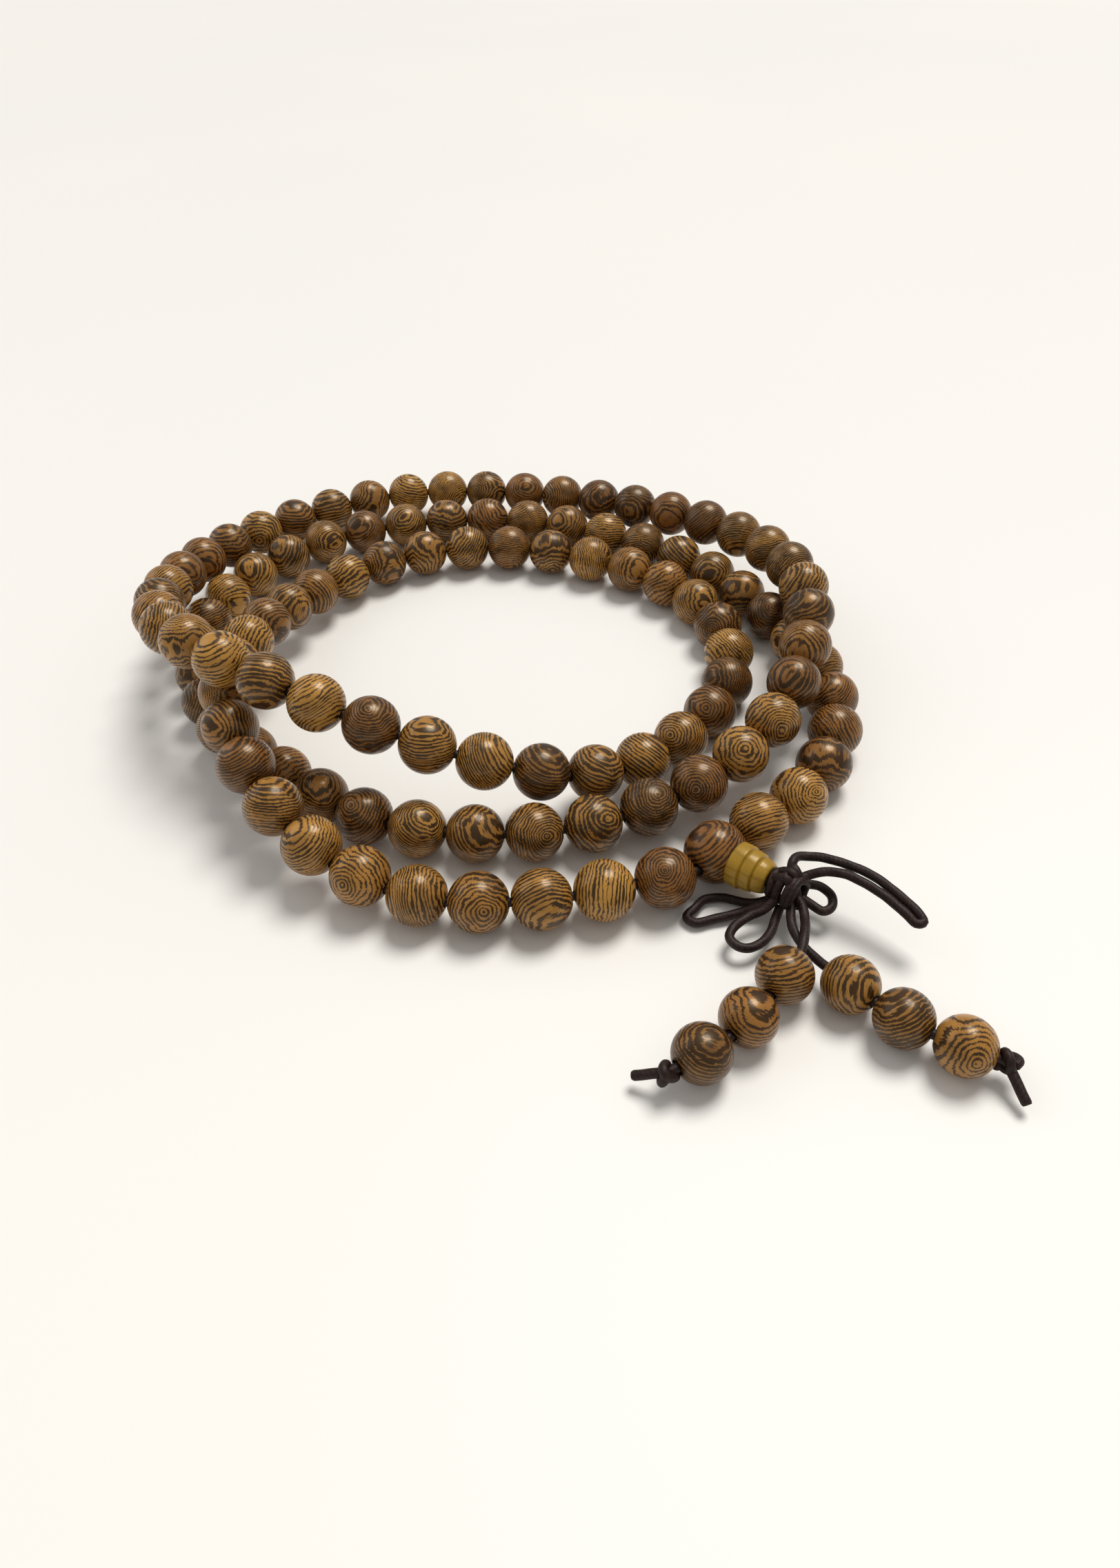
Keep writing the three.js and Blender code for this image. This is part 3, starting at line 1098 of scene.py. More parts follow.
def mark_grain(mesh: bpy.types.Mesh, centre: Vector, grain: GrainSpot) -> None:
    """Write the wood's attributes on a mesh.

    Args:
        mesh: The mesh of one bead.
        centre: The bead's centre.
        grain: Where in the log it was cut.
    """
    place = np.zeros(len(mesh.vertices) * 3, np.float32)
    mesh.vertices.foreach_get("co", place)
    set_vectors(mesh, "grain", grain.at(place.reshape(-1, 3), centre))
    set_vectors(mesh, "tint", np.tile(np.array(grain.tint), (len(mesh.vertices), 1)))
    if "rim" not in mesh.attributes:
        mesh.attributes.new("rim", "FLOAT", "POINT")
    if "axis" in mesh.attributes:
        mesh.attributes.remove(mesh.attributes["axis"])


# ---------------------------------------------------------------- the frame's own places


class FrameReader:
    """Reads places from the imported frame."""

    def __init__(self, packed: dict[str, object]) -> None:
        """Keep the frame and list which body each node is on.

        Args:
            packed: The loaded frame.
        """
        self.nodes: dict[str, bpy.types.Object] = packed["nodes"]
        self.joints = {joint["child"]: joint for joint in packed["joints"]}
        bodies = packed["record"]["behaviour"]["bodies"]
        self.body_of = {node: body for body, nodes in bodies.items() for node in nodes}

    def pivot(self, body: str) -> Vector:
        """Give the place of the joint that carries a body."""
        return Vector(self.joints[body]["pos_m"])

    def axis(self, body: str) -> Vector:
        """Give the axis of the joint that carries a body."""
        return Vector(self.joints[body]["axis"]).normalized()

    def middle(self, node: str) -> Vector:
        """Give the middle of a node's box."""
        low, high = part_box(node)
        return (low + high) / 2

    def ring_centres(self, node: str, start: Vector, sides: int) -> Points:
        """Follow a tube's rings of vertices from one end.

        Args:
            node: The tube's node.
            start: The middle of its first ring.
            sides: Vertices in a ring.

        Returns:
            The middle of each ring, in order.
        """
        work = bmesh.new()
        work.from_mesh(self.nodes[node].data)
        bmesh.ops.remove_doubles(work, verts=work.verts, dist=MERGE_DISTANCE)
        ring = sorted(work.verts, key=lambda v: (v.co - start).length)[:sides]
        seen = set(ring)
        centres: Points = []
        while ring:
            centres.append(sum((v.co for v in ring), Vector()) / len(ring))
            ring = list({e.other_vert(v) for v in ring for e in v.link_edges} - seen)
            seen.update(ring)
        work.free()
        return centres


# ---------------------------------------------------------------- sub-assemblies


@dataclass
class BeadString:
    """The closed string of equal beads, from the guru's one side hole to the other."""

    reader: FrameReader
    turner: BeadTurner
    dresser: Dresser
    cords: CordMaker
    bead_d: float = 8 * MM
    bore_d: float = 1.5 * MM
    cord_sides: int = 8
    end_offset: float = 0.75 * MM
    corner_ease: float = 0.7 * MM

    def places(self) -> list[tuple[Vector, Vector]]:
        """Give each bead's centre and axis, from the cord's corners.

        Returns:
            Centres and unit axes, the first bead first.
        """
        corners = self.corners()
        return [((a + b) / 2, (b - a).normalized()) for a, b in zip(corners[2:], corners[3:-2])]

    def corners(self) -> Points:
        """Give the corners of the cord, its ends inside the guru among them."""
        start = self.reader.pivot("pendant") - self.reader.axis("pendant") * self.end_offset
        return self.reader.ring_centres("stringing_cord", start, self.cord_sides)

    def node_of(self, number: int) -> str:
        """Name the node that holds a bead.

        Args:
            number: The bead's number, from 1.

        Returns:
            Its own node, or that of its run.
        """
        single = f"bead_{number:03d}"
        if single in self.reader.nodes:
            return single
        for name in self.reader.nodes:
            parts = name.split("_")
            if parts[0] == "beads" and int(parts[1]) <= number <= int(parts[2]):
                return name
        raise ValueError(f"no node holds bead {number}")

    def build(self) -> None:
        """Make every bead and the cord through them."""
        finish = self.dresser.material(Finish.BEAD)
        places = self.places()
        for number, (centre, axis) in enumerate(places, start=1):
            node = self.node_of(number)
            grain = Sawyer.cut(f"bead_{number}", number)
            name = f"turned_bead_{number:03d}"
            bead = self.turner.turn(name, centre, axis, self.bead_d, self.bore_d, grain, finish)
            seat(bead, self.reader.body_of[node], "bead_wood", node)
        log.info("string: %d beads", len(places))
        path = eased_path(self.corners(), self.corner_ease)
        cord = add_piece("string_through_beads", self.cords.tube(path, "string_through_beads"))
        self.dresser.dress(cord, Finish.CORD)
        seat(cord, "strand", "cord", "stringing_cord")
        log.info("string: %.0f mm of cord", path_length(path) / MM)


class Sawyer:
    """Chooses where in the log each bead is cut."""

    RIGHT = Vector((1.0, 0.0, 0.0))
    AWAY = Vector((0.0, 0.67, 0.74))
    FRONT = Vector((0.0, -0.74, 0.67))

    # Beads whose layers lie almost flat: which way the layers face, as shares to the right,
    # to the top and to the front, then how warm, how dark and how coarse they are.
    FLAT = {
        "guru": ((-0.55, 0.75, 0.35), (0.95, 0.35, 0.5)),
        "bead_107": ((0.95, -0.15, 0.25), (0.0, 0.0, 0.5)),
        "bead_106": ((0.3, -0.8, 0.5), (0.3, 0.35, 0.8)),
        "bead_104": ((0.95, 0.1, 0.3), (0.25, 0.35, 0.4)),
        "bead_102": ((-0.5, 0.75, 0.4), (0.2, 0.05, 0.4)),
        "bead_101": ((0.1, 0.95, 0.25), (0.4, 0.35, 0.3)),
        "bead_100": ((-0.3, 0.85, 0.4), (0.9, 0.6, 0.3)),
        "bead_1": ((0.25, -0.9, 0.35), (0.35, 0.2, 0.35)),
        "bead_33": ((0.4, 0.5, 0.75), (0.15, 0.35, 0.0)),
        "bead_34": ((0.85, 0.4, 0.3), (0.35, 0.6, 0.6)),
        "bead_71": ((-0.45, 0.8, 0.35), (0.1, 0.05, 0.5)),
        "bead_73": ((0.1, 0.97, 0.2), (0.35, 0.3, 0.4)),
        "bead_74": ((0.9, 0.35, 0.25), (0.1, 0.3, 0.4)),
        "bead_75": ((0.45, 0.85, 0.25), (0.6, 0.9, 0.6)),
        "bead_76": ((0.4, 0.8, 0.4), (0.3, 0.5, 0.45)),
        "bead_77": ((0.6, 0.75, 0.2), (0.2, 0.3, 0.7)),
        "left_counter_1": ((-0.1, 0.97, 0.2), (0.5, 0.5, 0.5)),
        "left_counter_2": ((0.4, 0.75, 0.5), (0.75, 0.15, 0.6)),
        "left_counter_3": ((0.3, 0.8, 0.45), (0.6, 1.0, 0.45)),
        "right_counter_1": ((0.8, -0.1, 0.55), (0.35, 0.3, 0.7)),
        "right_counter_2": ((-0.3, 0.9, 0.25), (0.4, 0.9, 0.55)),
    }

    # Beads that show the heart of the log as rings: how far the rings' middle lies to the
    # right and to the top, in millimetres, then the same three shares.
    HEARTS = {
        "bead_108": ((-0.3, 1.3), (0.95, 0.35, 0.2)),
        "bead_105": ((0.9, -0.8), (0.5, 0.35, 0.6)),
        "bead_103": ((-1.6, -0.6), (0.45, 0.0, 0.5)),
        "bead_2": ((1.6, 0.5), (0.2, 0.05, 0.4)),
        "bead_8": ((0.5, 1.0), (0.9, 1.0, 0.2)),
        "bead_32": ((-1.2, 1.6), (0.8, 0.7, 0.4)),
        "bead_35": ((1.7, -0.5), (0.4, 0.5, 0.2)),
        "bead_36": ((1.8, 0.4), (0.15, 0.7, 0.9)),
        "bead_37": ((0.9, 1.6), (0.5, 1.0, 0.3)),
        "bead_38": ((-1.1, -0.9), (0.9, 0.5, 0.3)),
        "bead_39": ((0.1, 0.6), (0.3, 0.0, 1.0)),
        "bead_40": ((0.4, -1.7), (0.3, 0.2, 0.5)),
        "bead_72": ((0.4, 2.0), (0.9, 0.7, 0.3)),
        "bead_78": ((-2.0, 0.3), (0.4, 0.3, 0.5)),
        "bead_79": ((-1.2, 0.3), (0.9, 0.4, 0.5)),
        "right_counter_3": ((-0.3, -1.1), (0.5, 0.0, 0.8)),
    }
    HEART_SHARE = 0.2

    # How the other places are drawn: numbers that make a bead's seed, then ranges in
    # millimetres along the log, across it and out from the heart.
    SEED_FACTOR = 7919
    SEED_SHIFT = 13
    ALONG = (0, 400)
    ACROSS = (-6, 6)
    OUT = (9, 34)
    HEART_ACROSS = (-1, 1)
    HEART_OUT = (0, 2.5)
    LIGHT_BIAS = 1.3

    @classmethod
    def cut(cls, name: str, seed: int) -> GrainSpot:
        """Cut one bead.

        Args:
            name: The bead's name.
            seed: Its fixed seed.

        Returns:
            Its place and direction in the log, and its colour.
        """
        draw = random.Random(seed * cls.SEED_FACTOR + cls.SEED_SHIFT)
        layer = Vector((draw.gauss(0, 1), draw.gauss(0, 1), draw.gauss(0, 1))).normalized()
        fibre = layer.orthogonal()
        fibre.rotate(Quaternion(layer, draw.uniform(0, math.tau)))
        place = Vector([draw.uniform(*span) for span in (cls.ALONG, cls.ACROSS, cls.OUT)])
        tint = Vector((draw.random(), draw.random() ** cls.LIGHT_BIAS, draw.random()))
        if draw.random() < cls.HEART_SHARE:
            place.y, place.z = draw.uniform(*cls.HEART_ACROSS), draw.uniform(*cls.HEART_OUT)
        if name in cls.FLAT:
            (right, away, front), chosen = cls.FLAT[name]
            layer = (cls.RIGHT * right + cls.AWAY * away + cls.FRONT * front).normalized()
            fibre, tint = layer.cross(cls.FRONT), Vector(chosen)
            place.y, place.z = draw.uniform(*cls.ACROSS), draw.uniform(*cls.OUT)
        if name in cls.HEARTS:
            (right, away), chosen = cls.HEARTS[name]
            layer, fibre, tint = cls.AWAY, cls.FRONT, Vector(chosen)
            place.y, place.z = -right, -away
        return GrainSpot(fibre, layer, place, tint)


def seat(piece: bpy.types.Object, body: str, slot: str, *nodes: str) -> bpy.types.Object:
    """Put a piece on its body, for the CAD nodes it stands for.

    Args:
        piece: The finished piece.
        body: The body it moves with.
        slot: The record's material slot; not used.
        nodes: CAD nodes that it replaces.

    Returns:
        The piece.
    """
    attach(piece, body)
    if nodes:
        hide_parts(*nodes)
    return piece


@dataclass
class Pendant:
    """The guru, the tower bead on it, the bow knot and the bow's two cords."""

    reader: FrameReader
    turner: BeadTurner
    dresser: Dresser
    cords: CordMaker
    guru_d: float = 8.4 * MM
    guru_bore_d: float = 1.6 * MM
    tower_sides: int = 72
    seat_gap: float = 0.05 * MM
    seat_steps: int = 6
    stem_spread: float = 0.52 * MM
    stem_start: float = 0.9 * MM
    stem_stop: float = 1.5 * MM
    turn_step: float = 0.2 * MM

    # The tower's outline in millimetres from the middle of the guru: its bore, the lip of its
    # seat, and the radius, height and rounding of each corner of its three tiers.
    TOWER_BORE_R = 1.3
    TOWER_LIP_R = 2.9
    TOWER_TIERS = (
        (2.98, 3.3, 0.2), (3.0, 4.85, 0.3), (2.62, 4.98, 0.08), (2.8, 5.2, 0.2),
        (2.66, 6.5, 0.3), (2.26, 6.62, 0.08), (2.44, 6.85, 0.2), (2.2, 7.75, 0.5),
        (1.95, 8.25, 0.25), (TOWER_BORE_R, 8.25, 0.1),
    )
    TOWER_LAYER = Vector((0.4, 0.3, 1.0))
    TOWER_PLACE = Vector((5.0, 1.0, 14.0))
    TOWER_TINT = Vector((0.3, 0.25, 0.6))

    # Loops of the bow, in millimetres from the middle of the knot.
    LONG_LEFT = (
        (-1.4, 0.3, -1.3), (-2.5, 0.6, -2.8), (-4.6, 1.2, -3.7), (-7.4, 2.2, -3.7),
        (-9.9, 2.1, -3.7), (-11.4, 0.6, -3.6), (-12.6, -0.7, -3.7), (-11.7, -1.7, -3.7),
        (-9.1, -1.2, -3.7), (-5.7, -0.7, -3.3), (-3.4, -0.6, -2.4), (-1.6, -0.6, -1.4),
    )
    LOW_LEFT = (
        (-1.5, -1.1, -0.6), (-3.3, -2.1, -1.4), (-5, -2.6, -1.8), (-7.2, -4.1, -2),
        (-8, -5.7, -2.1), (-7.2, -7, -2.2), (-5.7, -7.2, -2.4), (-3.9, -6.2, -2.5),
        (-2.6, -4.5, -2.6), (-1.8, -2.8, -2.4), (-1, -1.4, -1.6),
    )
    SMALL_RIGHT = (
        (1.3, 0.8, -0.3), (3, 1.1, -0.6), (4.5, 0.8, -0.9), (5.5, -0.5, -1.1), (5.3, -2.1, -1.3),
        (4.1, -2.8, -1.4), (2.9, -1.8, -1.3), (1.5, -0.8, -0.8),
    )
    LONG_RIGHT = (
        (0.4, 0.9, 1.9), (0.7, 2.0, 2.6), (1.5, 3.0, 2.5), (3.0, 3.3, 2.2), (4.6, 2.8, 2.4),
        (6.9, 1.5, 2.6), (9.9, -0.7, 2.6), (12.5, -3.6, 2.1), (14.5, -6.4, 1.4),
        (14.75, -7.35, 1.1), (13.95, -7.5, 1.05), (13.0, -6.3, 1.4), (10.9, -3.7, 2.0),
        (8.7, -1.7, 2.4), (6.6, -0.1, 2.4), (4.2, 0.7, 2.0), (1.9, 0.6, 1.3),
    )

    # Where each bow cord goes round the knot between its two loops: along the tower's
    # axis, to its right and up, in millimetres from the middle of the knot.
    LEFT_WRAP = (
        (-0.6, -1.9, 0.1), (-0.5, -1.2, 1.6), (-0.4, 0.2, 2.0), (-0.3, 1.5, 1.2),
        (-0.2, 1.9, -0.3), (-0.1, 1.1, -1.6), (-0.1, -0.4, -1.9),
    )
    RIGHT_WRAP = (
        (0.9, -0.3, 1.9), (0.8, -1.6, 1.2), (0.7, -2.0, -0.2), (0.6, -1.2, -1.6),
        (0.5, 0.3, -1.9), (0.5, 1.4, -1.2),
    )

    # Turns that hold the bow, in the same directions: an ear by its points, and two rings by
    # their place on the axis, half their width and height, and how far they move along it.
    EAR_TURN = (
        (-0.9, 1.9, 0.2), (-0.8, 1.9, 1.6), (-0.1, 1.3, 2.5), (0.6, 1.0, 2.2), (0.8, 1.2, 1.0),
    )
    NECK_TURN = (-1.75, 1.55, 1.5, 0.25)
    FRONT_TURN = (1.35, 2.0, 1.75, -0.5)
    RING_START = -110
    RING_SWEEP = 380
    RING_STEPS = 14
    RING_WAVE = 0.12

    @property
    def centre(self) -> Vector:
        """The middle of the guru."""
        return self.reader.pivot("pendant")

    @property
    def outward(self) -> Vector:
        """The tower's axis, from the guru to the knot."""
        return self.reader.axis("tower")

    @property
    def knot(self) -> Vector:
        """The middle of the bow knot."""
        return self.reader.middle("bow_knot")

    def from_knot(self, along: float, right: float, up: float) -> Vector:
        """Place a point by the knot's own directions.

        Args:
            along: Millimetres along the tower's axis.
            right: Millimetres to its right, seen from above.
            up: Millimetres up.

        Returns:
            The point, in metres.
        """
        side = Vector((0, 0, 1)).cross(self.outward).normalized()
        rise = self.outward.cross(side)
        return self.knot + (self.outward * along + side * right + rise * up) * MM

    def build(self) -> None:
        """Make the guru, tower, stem, knot and bow."""
        self._guru()
        self._tower()
        self._stem()
        self._knot()
        self._bow_cord(
            "left_bow_cord", self.LONG_LEFT, self.LEFT_WRAP, self.LOW_LEFT,
            ("long_left_loop", "low_left_loop"),
        )
        self._bow_cord(
            "right_bow_cord", self.LONG_RIGHT, self.RIGHT_WRAP, self.SMALL_RIGHT,
            ("long_right_loop", "small_right_loop"),
        )

    def _guru(self) -> None:
        """Turn the guru; the tower and its stem cover the place of its front hole."""
        grain = Sawyer.cut("guru", 0)
        axis = self.reader.axis("pendant")
        finish = self.dresser.material(Finish.BEAD)
        bead = self.turner.turn(
            "turned_guru", self.centre, axis, self.guru_d, self.guru_bore_d, grain, finish
        )
        seat(bead, "pendant", "bead_wood", "guru_bead")
        log.info("pendant: guru")

    def _tower(self) -> None:
        """Turn the three-tier tower bead, whose seat follows the guru."""
        ball = self.guru_d / 2 / MM
        width = self.TOWER_LIP_R - self.TOWER_BORE_R
        profile = []
        for step in range(self.seat_steps + 1):
            radius = self.TOWER_BORE_R + width * step / self.seat_steps
            profile.append((radius, math.sqrt(ball**2 - radius**2) + self.seat_gap / MM, 0.0))
        profile += self.TOWER_TIERS
        rounded = [(r * MM, h * MM) for r, h in rounded_profile(profile)]
        place = axis_frame(self.centre, self.outward)
        mesh = turn_profile(rounded, self.tower_sides, place, "turned_tower")
        face_outwards(mesh)
        grain = GrainSpot(self.outward, self.TOWER_LAYER, self.TOWER_PLACE, self.TOWER_TINT)
        mark_grain(mesh, self.centre, grain)
        tower = add_piece("turned_tower", mesh)
        self.dresser.dress(tower, Finish.TOWER)
        seat(tower, "tower", "tower_wood", "tower_bead")
        log.info("pendant: tower")

    def _stem(self) -> None:
        """Run both cord ends side by side from inside the guru to the knot."""
        side = Vector((0, 0, 1)).cross(self.outward).normalized()
        for name, sign in (("left", -1), ("right", 1)):
            offset = side * (sign * self.stem_spread)
            start = self.centre + self.outward * self.stem_start + offset
            end = self.knot - self.outward * self.stem_stop + offset
            mesh = self.cords.tube(even_path([start, end], PATH_STEP), f"{name}_cord_in_tower")
            piece = self.dresser.dress(add_piece(f"{name}_cord_in_tower", mesh), Finish.CORD)
            seat(piece, "pendant", "cord", "pendant_cord")

    def _knot(self) -> None:
        """Tie the turns that hold the bow, as short lengths of the cord."""
        turns = {
            "neck_turn": self._ring(*self.NECK_TURN),
            "front_turn": self._ring(*self.FRONT_TURN),
            "ear_turn": [self.from_knot(*p) for p in self.EAR_TURN],
        }
        for name, points in turns.items():
            mesh = self.cords.tube(smooth_path(points, self.turn_step), f"knot_{name}")
            piece = self.dresser.dress(add_piece(f"knot_{name}", mesh), Finish.CORD)
            seat(piece, "pendant", "cord", "bow_knot")
        log.info("pendant: knot of %d turns", len(turns))

    def _ring(self, along: float, width: float, height: float, lean: float) -> Points:
        """Draw a turn round the tower's axis that ends under itself.

        Args:
            along: Where on the axis, in millimetres from the knot's middle.
            width: Half its width.
            height: Half its height.
            lean: How far it moves along the axis in one turn.

        Returns:
            Its points.
        """
        points = []
        for step in range(self.RING_STEPS + 1):
            angle = math.radians(self.RING_START + self.RING_SWEEP * step / self.RING_STEPS)
            lift = lean * (step / self.RING_STEPS - 0.5)
            shift = along + lift + self.RING_WAVE * math.sin(3 * angle)
            points.append(self.from_knot(shift, width * math.cos(angle), height * math.sin(angle)))
        return points

    def _bow_cord(
        self,
        name: str,
        first: Route,
        wrap: Route,
        second: Route,
        nodes: tuple[str, ...],
    ) -> None:
        """Lay one cord of the bow: a loop, round the knot, and a second loop.

        Args:
            name: The piece's name.
            first: The first loop's points.
            wrap: Its points round the knot.
            second: The second loop's points.
            nodes: The loops' CAD nodes.
        """
        points = [self.knot + Vector(p) * MM for p in first]
        points += [self.from_knot(*p) for p in wrap]
        points += [self.knot + Vector(p) * MM for p in second]
        path = smooth_path(points, self.cords.step)
        piece = self.dresser.dress(add_piece(name, self.cords.tube(path, name)), Finish.CORD)
        seat(piece, "pendant", "cord", *nodes)
        log.info("%s: %.1f mm", name, path_length(path) / MM)


@dataclass
class Tail:
    """One tail: its cord from the knot, three counter beads and the end knot.

    route is in millimetres, to the right and away from the knot's middle and up from the table,
    and over_knot is in the knot's own directions. lead is the cord before the first counter,
    spread the play between counters, and cut_end the way that the cord's last stretch points.
    """

    reader: FrameReader
    turner: BeadTurner
    dresser: Dresser
    cords: CordMaker
    pendant: Pendant
    side: str
    route: Route
    over_knot: Route
    lead: float
    spread: float
    cut_end: Vector
    cut_end_l: float
    knot_turn: float
    seeds: tuple[int, int, int]
    counter_d: float = 7 * MM
    bore_d: float = 1.5 * MM
    end_knot_d: float = 2.6 * MM
    knot_nesting: float = 0.3 * MM
    bend_reach: float = 2.8 * MM
    route_step: float = 0.05 * MM
    lead_step: float = 2 * MM
    over_step: float = 0.1 * MM
    corner_ease: float = 0.8 * MM

    # The stopper knot's coil: how often it goes round, its points, its radius and length in
    # millimetres, and how much each of these sways.
    COIL_TURNS = 1.75
    COIL_STEPS = 24
    COIL_STEP = 0.15 * MM
    COIL_R = 0.82
    COIL_R_SWAY = 0.1
    COIL_L = 1.35
    COIL_L_SWAY = 0.42

    def build(self) -> None:
        """Make the tail's cord, counters and end knot."""
        knot = self.pendant.knot
        points = [Vector((knot.x + x * MM, knot.y + y * MM, z * MM)) for x, y, z in self.route]
        route = smooth_path(points, self.route_step)
        pitch = self.counter_d + self.spread
        lead = cut_path(route, self.lead)
        reach = self.lead + 3 * pitch + self.end_knot_d / 2
        knot_at = cut_path(route, reach - self.knot_nesting)[-1]
        corners = [centre + axis * (pitch / 2) for centre, axis in map(self._counter, range(3))]
        tip = knot_at + self.cut_end.normalized() * (self.cut_end_l + self.end_knot_d / 2)
        over = [self.pendant.from_knot(*p) for p in self.over_knot]
        first = smooth_path([*over, *even_path(lead, self.lead_step)], self.over_step)
        rest = eased_path([lead[-1], *corners, knot_at, tip], self.corner_ease)
        path = even_path([*first, *rest[1:]], self.cords.step)
        end_knot = self._end_knot(knot_at, (knot_at - corners[-1]).normalized())
        self._cord(path)

    def _counter(self, index: int) -> tuple[Vector, Vector]:
        """Turn one counter bead.

        Args:
            index: Its place from the knot, from 0.

        Returns:
            Its centre and axis.
        """
        node = f"{self.side}_counter_{index + 1}"
        centre, axis = self.reader.pivot(node), self.reader.axis(node)
        grain = Sawyer.cut(node, self.seeds[index])
        finish = self.dresser.material(Finish.BEAD)
        name = f"turned_{node}"
        bead = self.turner.turn(name, centre, axis, self.counter_d, self.bore_d, grain, finish)
        seat(bead, node, "bead_wood", node)
        return centre, axis

    def _end_knot(self, centre: Vector, axis: Vector) -> bpy.types.Object:
        """Tie the stopper knot, a turn and a half of the cord round itself.

        Args:
            centre: The knot's middle.
            axis: The cord's direction into it.

        Returns:
            The knot as a piece.
        """
        place = axis_frame(centre, axis)
        points = []
        for step in range(self.COIL_STEPS + 1):
            share = step / self.COIL_STEPS
            angle = math.tau * self.COIL_TURNS * share + self.knot_turn
            reach = (self.COIL_R + self.COIL_R_SWAY * math.sin(1.7 * angle)) * MM
            rise = (share - 0.5) * self.COIL_L + self.COIL_L_SWAY * math.sin(1.5 * angle)
            spot = Vector((reach * math.cos(angle), reach * math.sin(angle), rise * MM))
            points.append(place @ spot)
        name = f"{self.side}_stopper_knot"
        mesh = self.cords.tube(smooth_path(points, self.COIL_STEP), name)
        piece = self.dresser.dress(add_piece(name, mesh), Finish.CORD)
        return seat(piece, f"{self.side}_tail", "cord", f"{self.side}_end_knot")

    def _cord(self, path: Points) -> None:
        """Make the tail's cord.

        Args:
            path: Its centreline, from the tower to the cut end.
        """
        name = f"{self.side}_tail_cord_laid"
        body = f"{self.side}_tail"
        piece = self.dresser.dress(add_piece(name, self.cords.tube(path, name)), Finish.CORD)
        pivot = self.reader.pivot(body)
        away = pivot - self.pendant.knot
        away.z = 0.0
        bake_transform(piece)
        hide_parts(f"{self.side}_tail_cord")
        log.info("%s: %.1f mm", name, path_length(path) / MM)


# ---------------------------------------------------------------- studio


@dataclass(frozen=True)
class Window:
    """Daylight through a wide, far window.

    place is the direction that it comes from, spread how wide it looks in degrees, and power
    its strength in watts on a square metre.
    """

    name: str
    place: tuple[float, float, float]
    spread: float
    power: float
    tone: tuple[float, float, float]

    def open(self) -> None:
        """Let its daylight in."""
        data = bpy.data.lights.new(self.name, "SUN")
        data.angle = math.radians(self.spread)
        data.energy = self.power
        data.color = self.tone
        lamp = bpy.data.objects.new(self.name, data)
        lamp.matrix_world = axis_frame(Vector(self.place), Vector(self.place))
        bpy.context.scene.collection.objects.link(lamp)


@dataclass
class Studio:
    """The table, the light and the camera, whose place is in millimetres and degrees."""

    floor_z: float = -0.1 * MM
    floor_half: float = 3.0
    camera_at: tuple[float, float, float] = (9.05, -131.72, 104.63)
    camera_pitch: float = 42.15
    camera_roll: float = -2.73
    lens: float = 24.36
    sensor: float = 36.0
    clip_range: tuple[float, float] = (0.005, 20.0)
    windows: tuple[Window, ...] = (
        Window("window", (0.26, 0.36, 0.89), 27.0, 2.3, (1.0, 0.975, 0.93)),
        Window("side_window", (-0.75, 0.35, 0.55), 40.0, 0.3, (0.9, 0.95, 1.0)),
    )
    room_light: Colour = (1.0, 0.975, 0.94, 1.0)
    room_power: float = 0.42

    def camera(self) -> None:
        """Set the camera."""
        data = bpy.data.cameras.new("camera")
        data.lens = self.lens
        data.sensor_width = self.sensor
        data.clip_start, data.clip_end = self.clip_range
        camera = bpy.data.objects.new("camera", data)
        bpy.context.scene.collection.objects.link(camera)
        place = Matrix.Translation(Vector(self.camera_at) * MM)
        tilt = Matrix.Rotation(math.pi / 2 - math.radians(self.camera_pitch), 4, "X")
        roll = Matrix.Rotation(math.radians(self.camera_roll), 4, "Z")
        camera.matrix_world = place @ tilt @ roll
        bpy.context.scene.camera = camera

    def table(self) -> None:
        """Lay the table top."""
        half, z = self.floor_half, self.floor_z
        corners = [Vector((x * half, y * half, z)) for x, y in ((-1, -1), (1, -1), (1, 1), (-1, 1))]
        top = add_piece("table_top", smooth_mesh("table_top", corners, [(0, 1, 2, 3)]))
        finish = TableTop("table_paint", base=colour("efeeeb"), shade=colour("f2f0ec"))
        top.data.materials.append(finish.material())

    def lights(self) -> None:
        """Open the windows and set the room's own light."""
        for window in self.windows:
            window.open()
        world = bpy.data.worlds.new("room")
        world.use_nodes = True
        background = world.node_tree.nodes["Background"]
        background.inputs["Color"].default_value = self.room_light
        background.inputs["Strength"].default_value = self.room_power
        bpy.context.scene.world = world
        bpy.context.scene.view_settings.view_transform = "Standard"


# ---------------------------------------------------------------- the object

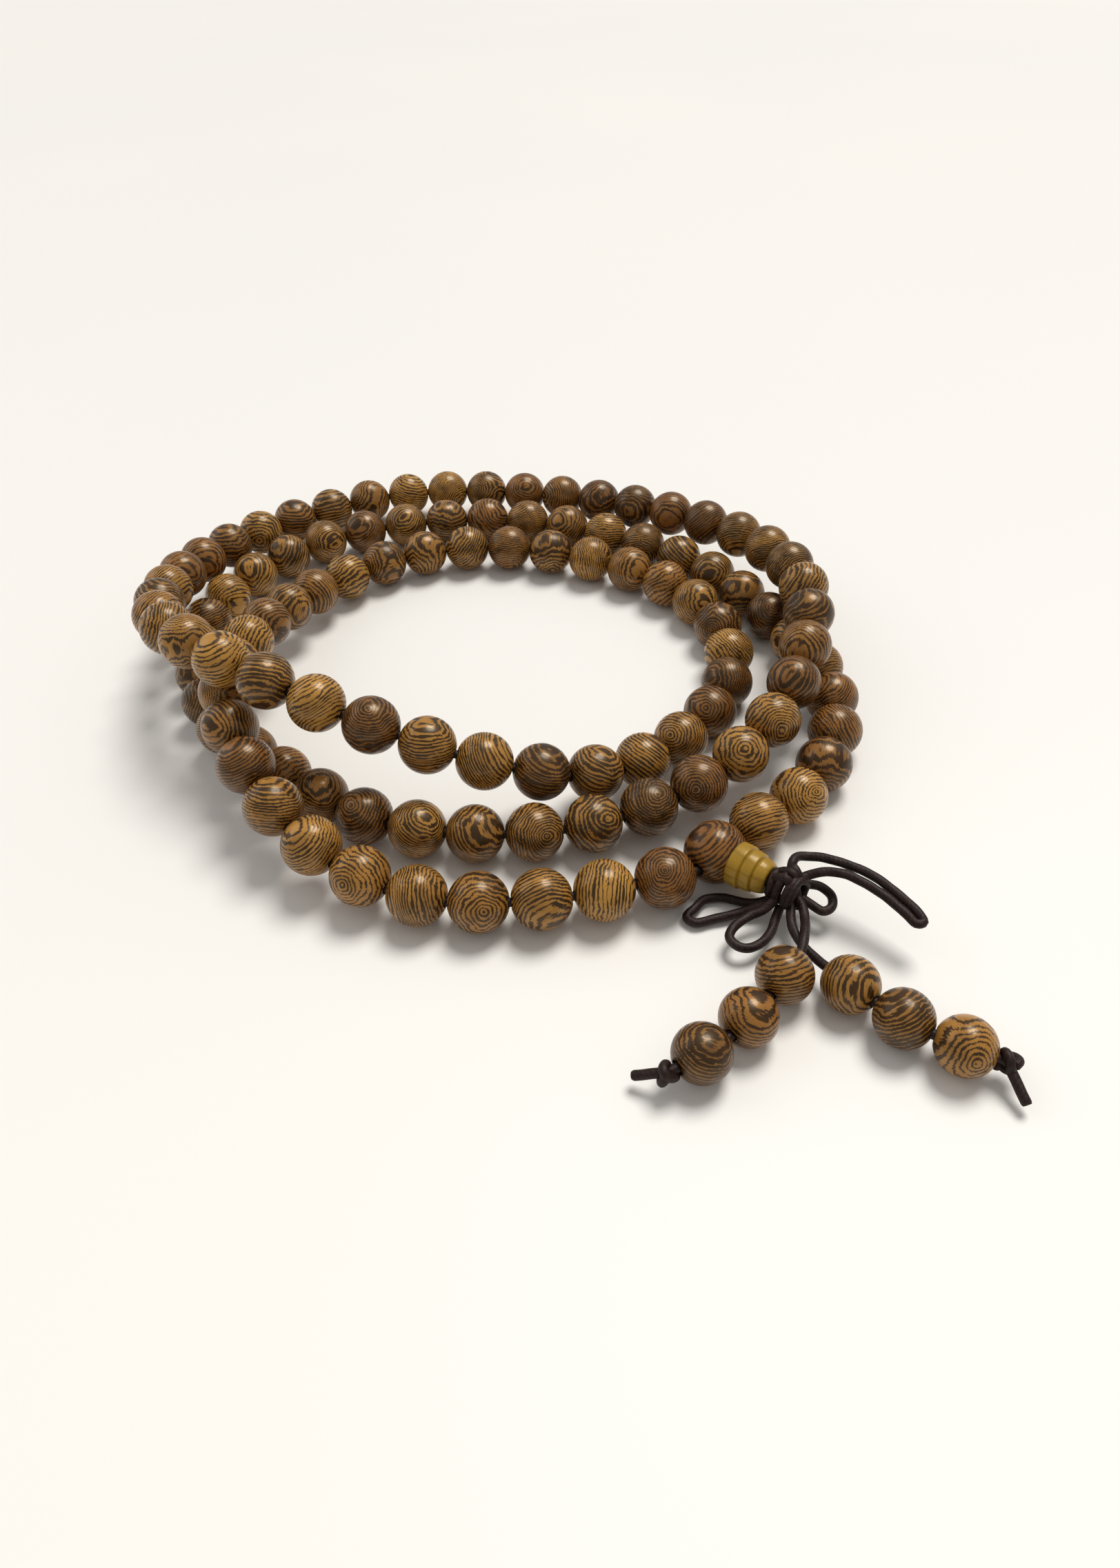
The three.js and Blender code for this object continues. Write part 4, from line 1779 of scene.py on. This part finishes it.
# The tails' routes in millimetres, right and away from the knot's middle and up from the table.
LEFT_ROUTE = (
    (1, -1, 4.2), (1.4, -2.5, 3.9), (1.3, -4.8, 3.8), (0.6, -7.5, 4.4), (-0.2, -9.8, 4.1),
    (-2.7, -12.9, 3.5), (-8, -18.6, 3.5), (-13.7, -23.3, 3.5), (-17.5, -24.7, 3.5),
    (-19.5, -25.1, 2.8), (-29, -26, 2.6),
)
RIGHT_ROUTE = (
    (0.2, -1.2, 3.8), (0, -2.6, 3.4), (-0.2, -4.9, 3), (0.4, -7.4, 2.8), (1.4, -9.5, 2.9),
    (2.5, -11.4, 3.2), (5, -14.9, 3.5), (9.4, -19.6, 3.5), (14.7, -23.3, 3.5),
    (17.9, -24.7, 3.5), (20, -25.5, 2.8), (30, -28, 2.6),
)


def main() -> None:
    """Build the finished object in order."""
    logging.basicConfig(level=logging.INFO, format="%(name)s: %(message)s", stream=sys.stdout)
    studio = Studio()
    studio.camera()
    reader = FrameReader(frame)
    turner = BeadTurner()
    dresser = Dresser()
    cords = CordMaker(diameter=1.2 * MM)
    pendant = Pendant(reader, turner, dresser, cords)
    pendant.build()
    Tail(
        reader, turner, dresser, cords, pendant, "left", LEFT_ROUTE,
        over_knot=((-2.0, 0.55, 0.9), (-1.0, 0.6, 2.0), (0.3, 0.5, 2.4)),
        lead=9.4 * MM, spread=0.5 * MM, cut_end=Vector((-3.4, 0.8, -1.6)), cut_end_l=2.8 * MM,
        knot_turn=-3.4, seeds=(201, 202, 203),
    ).build()
    Tail(
        reader, turner, dresser, cords, pendant, "right", RIGHT_ROUTE,
        over_knot=((-2.0, -0.65, 0.9), (-1.0, -0.7, 2.0), (0.2, -0.7, 2.3)),
        lead=11.1 * MM, spread=0.05 * MM, cut_end=Vector((1, -4.1, -1.5)), cut_end_l=3.5 * MM,
        knot_turn=3.9, seeds=(211, 212, 213),
    ).build()
    BeadString(reader, turner, dresser, cords).build()
    studio.table()
    studio.lights()


if __name__ == "__main__":
    main()
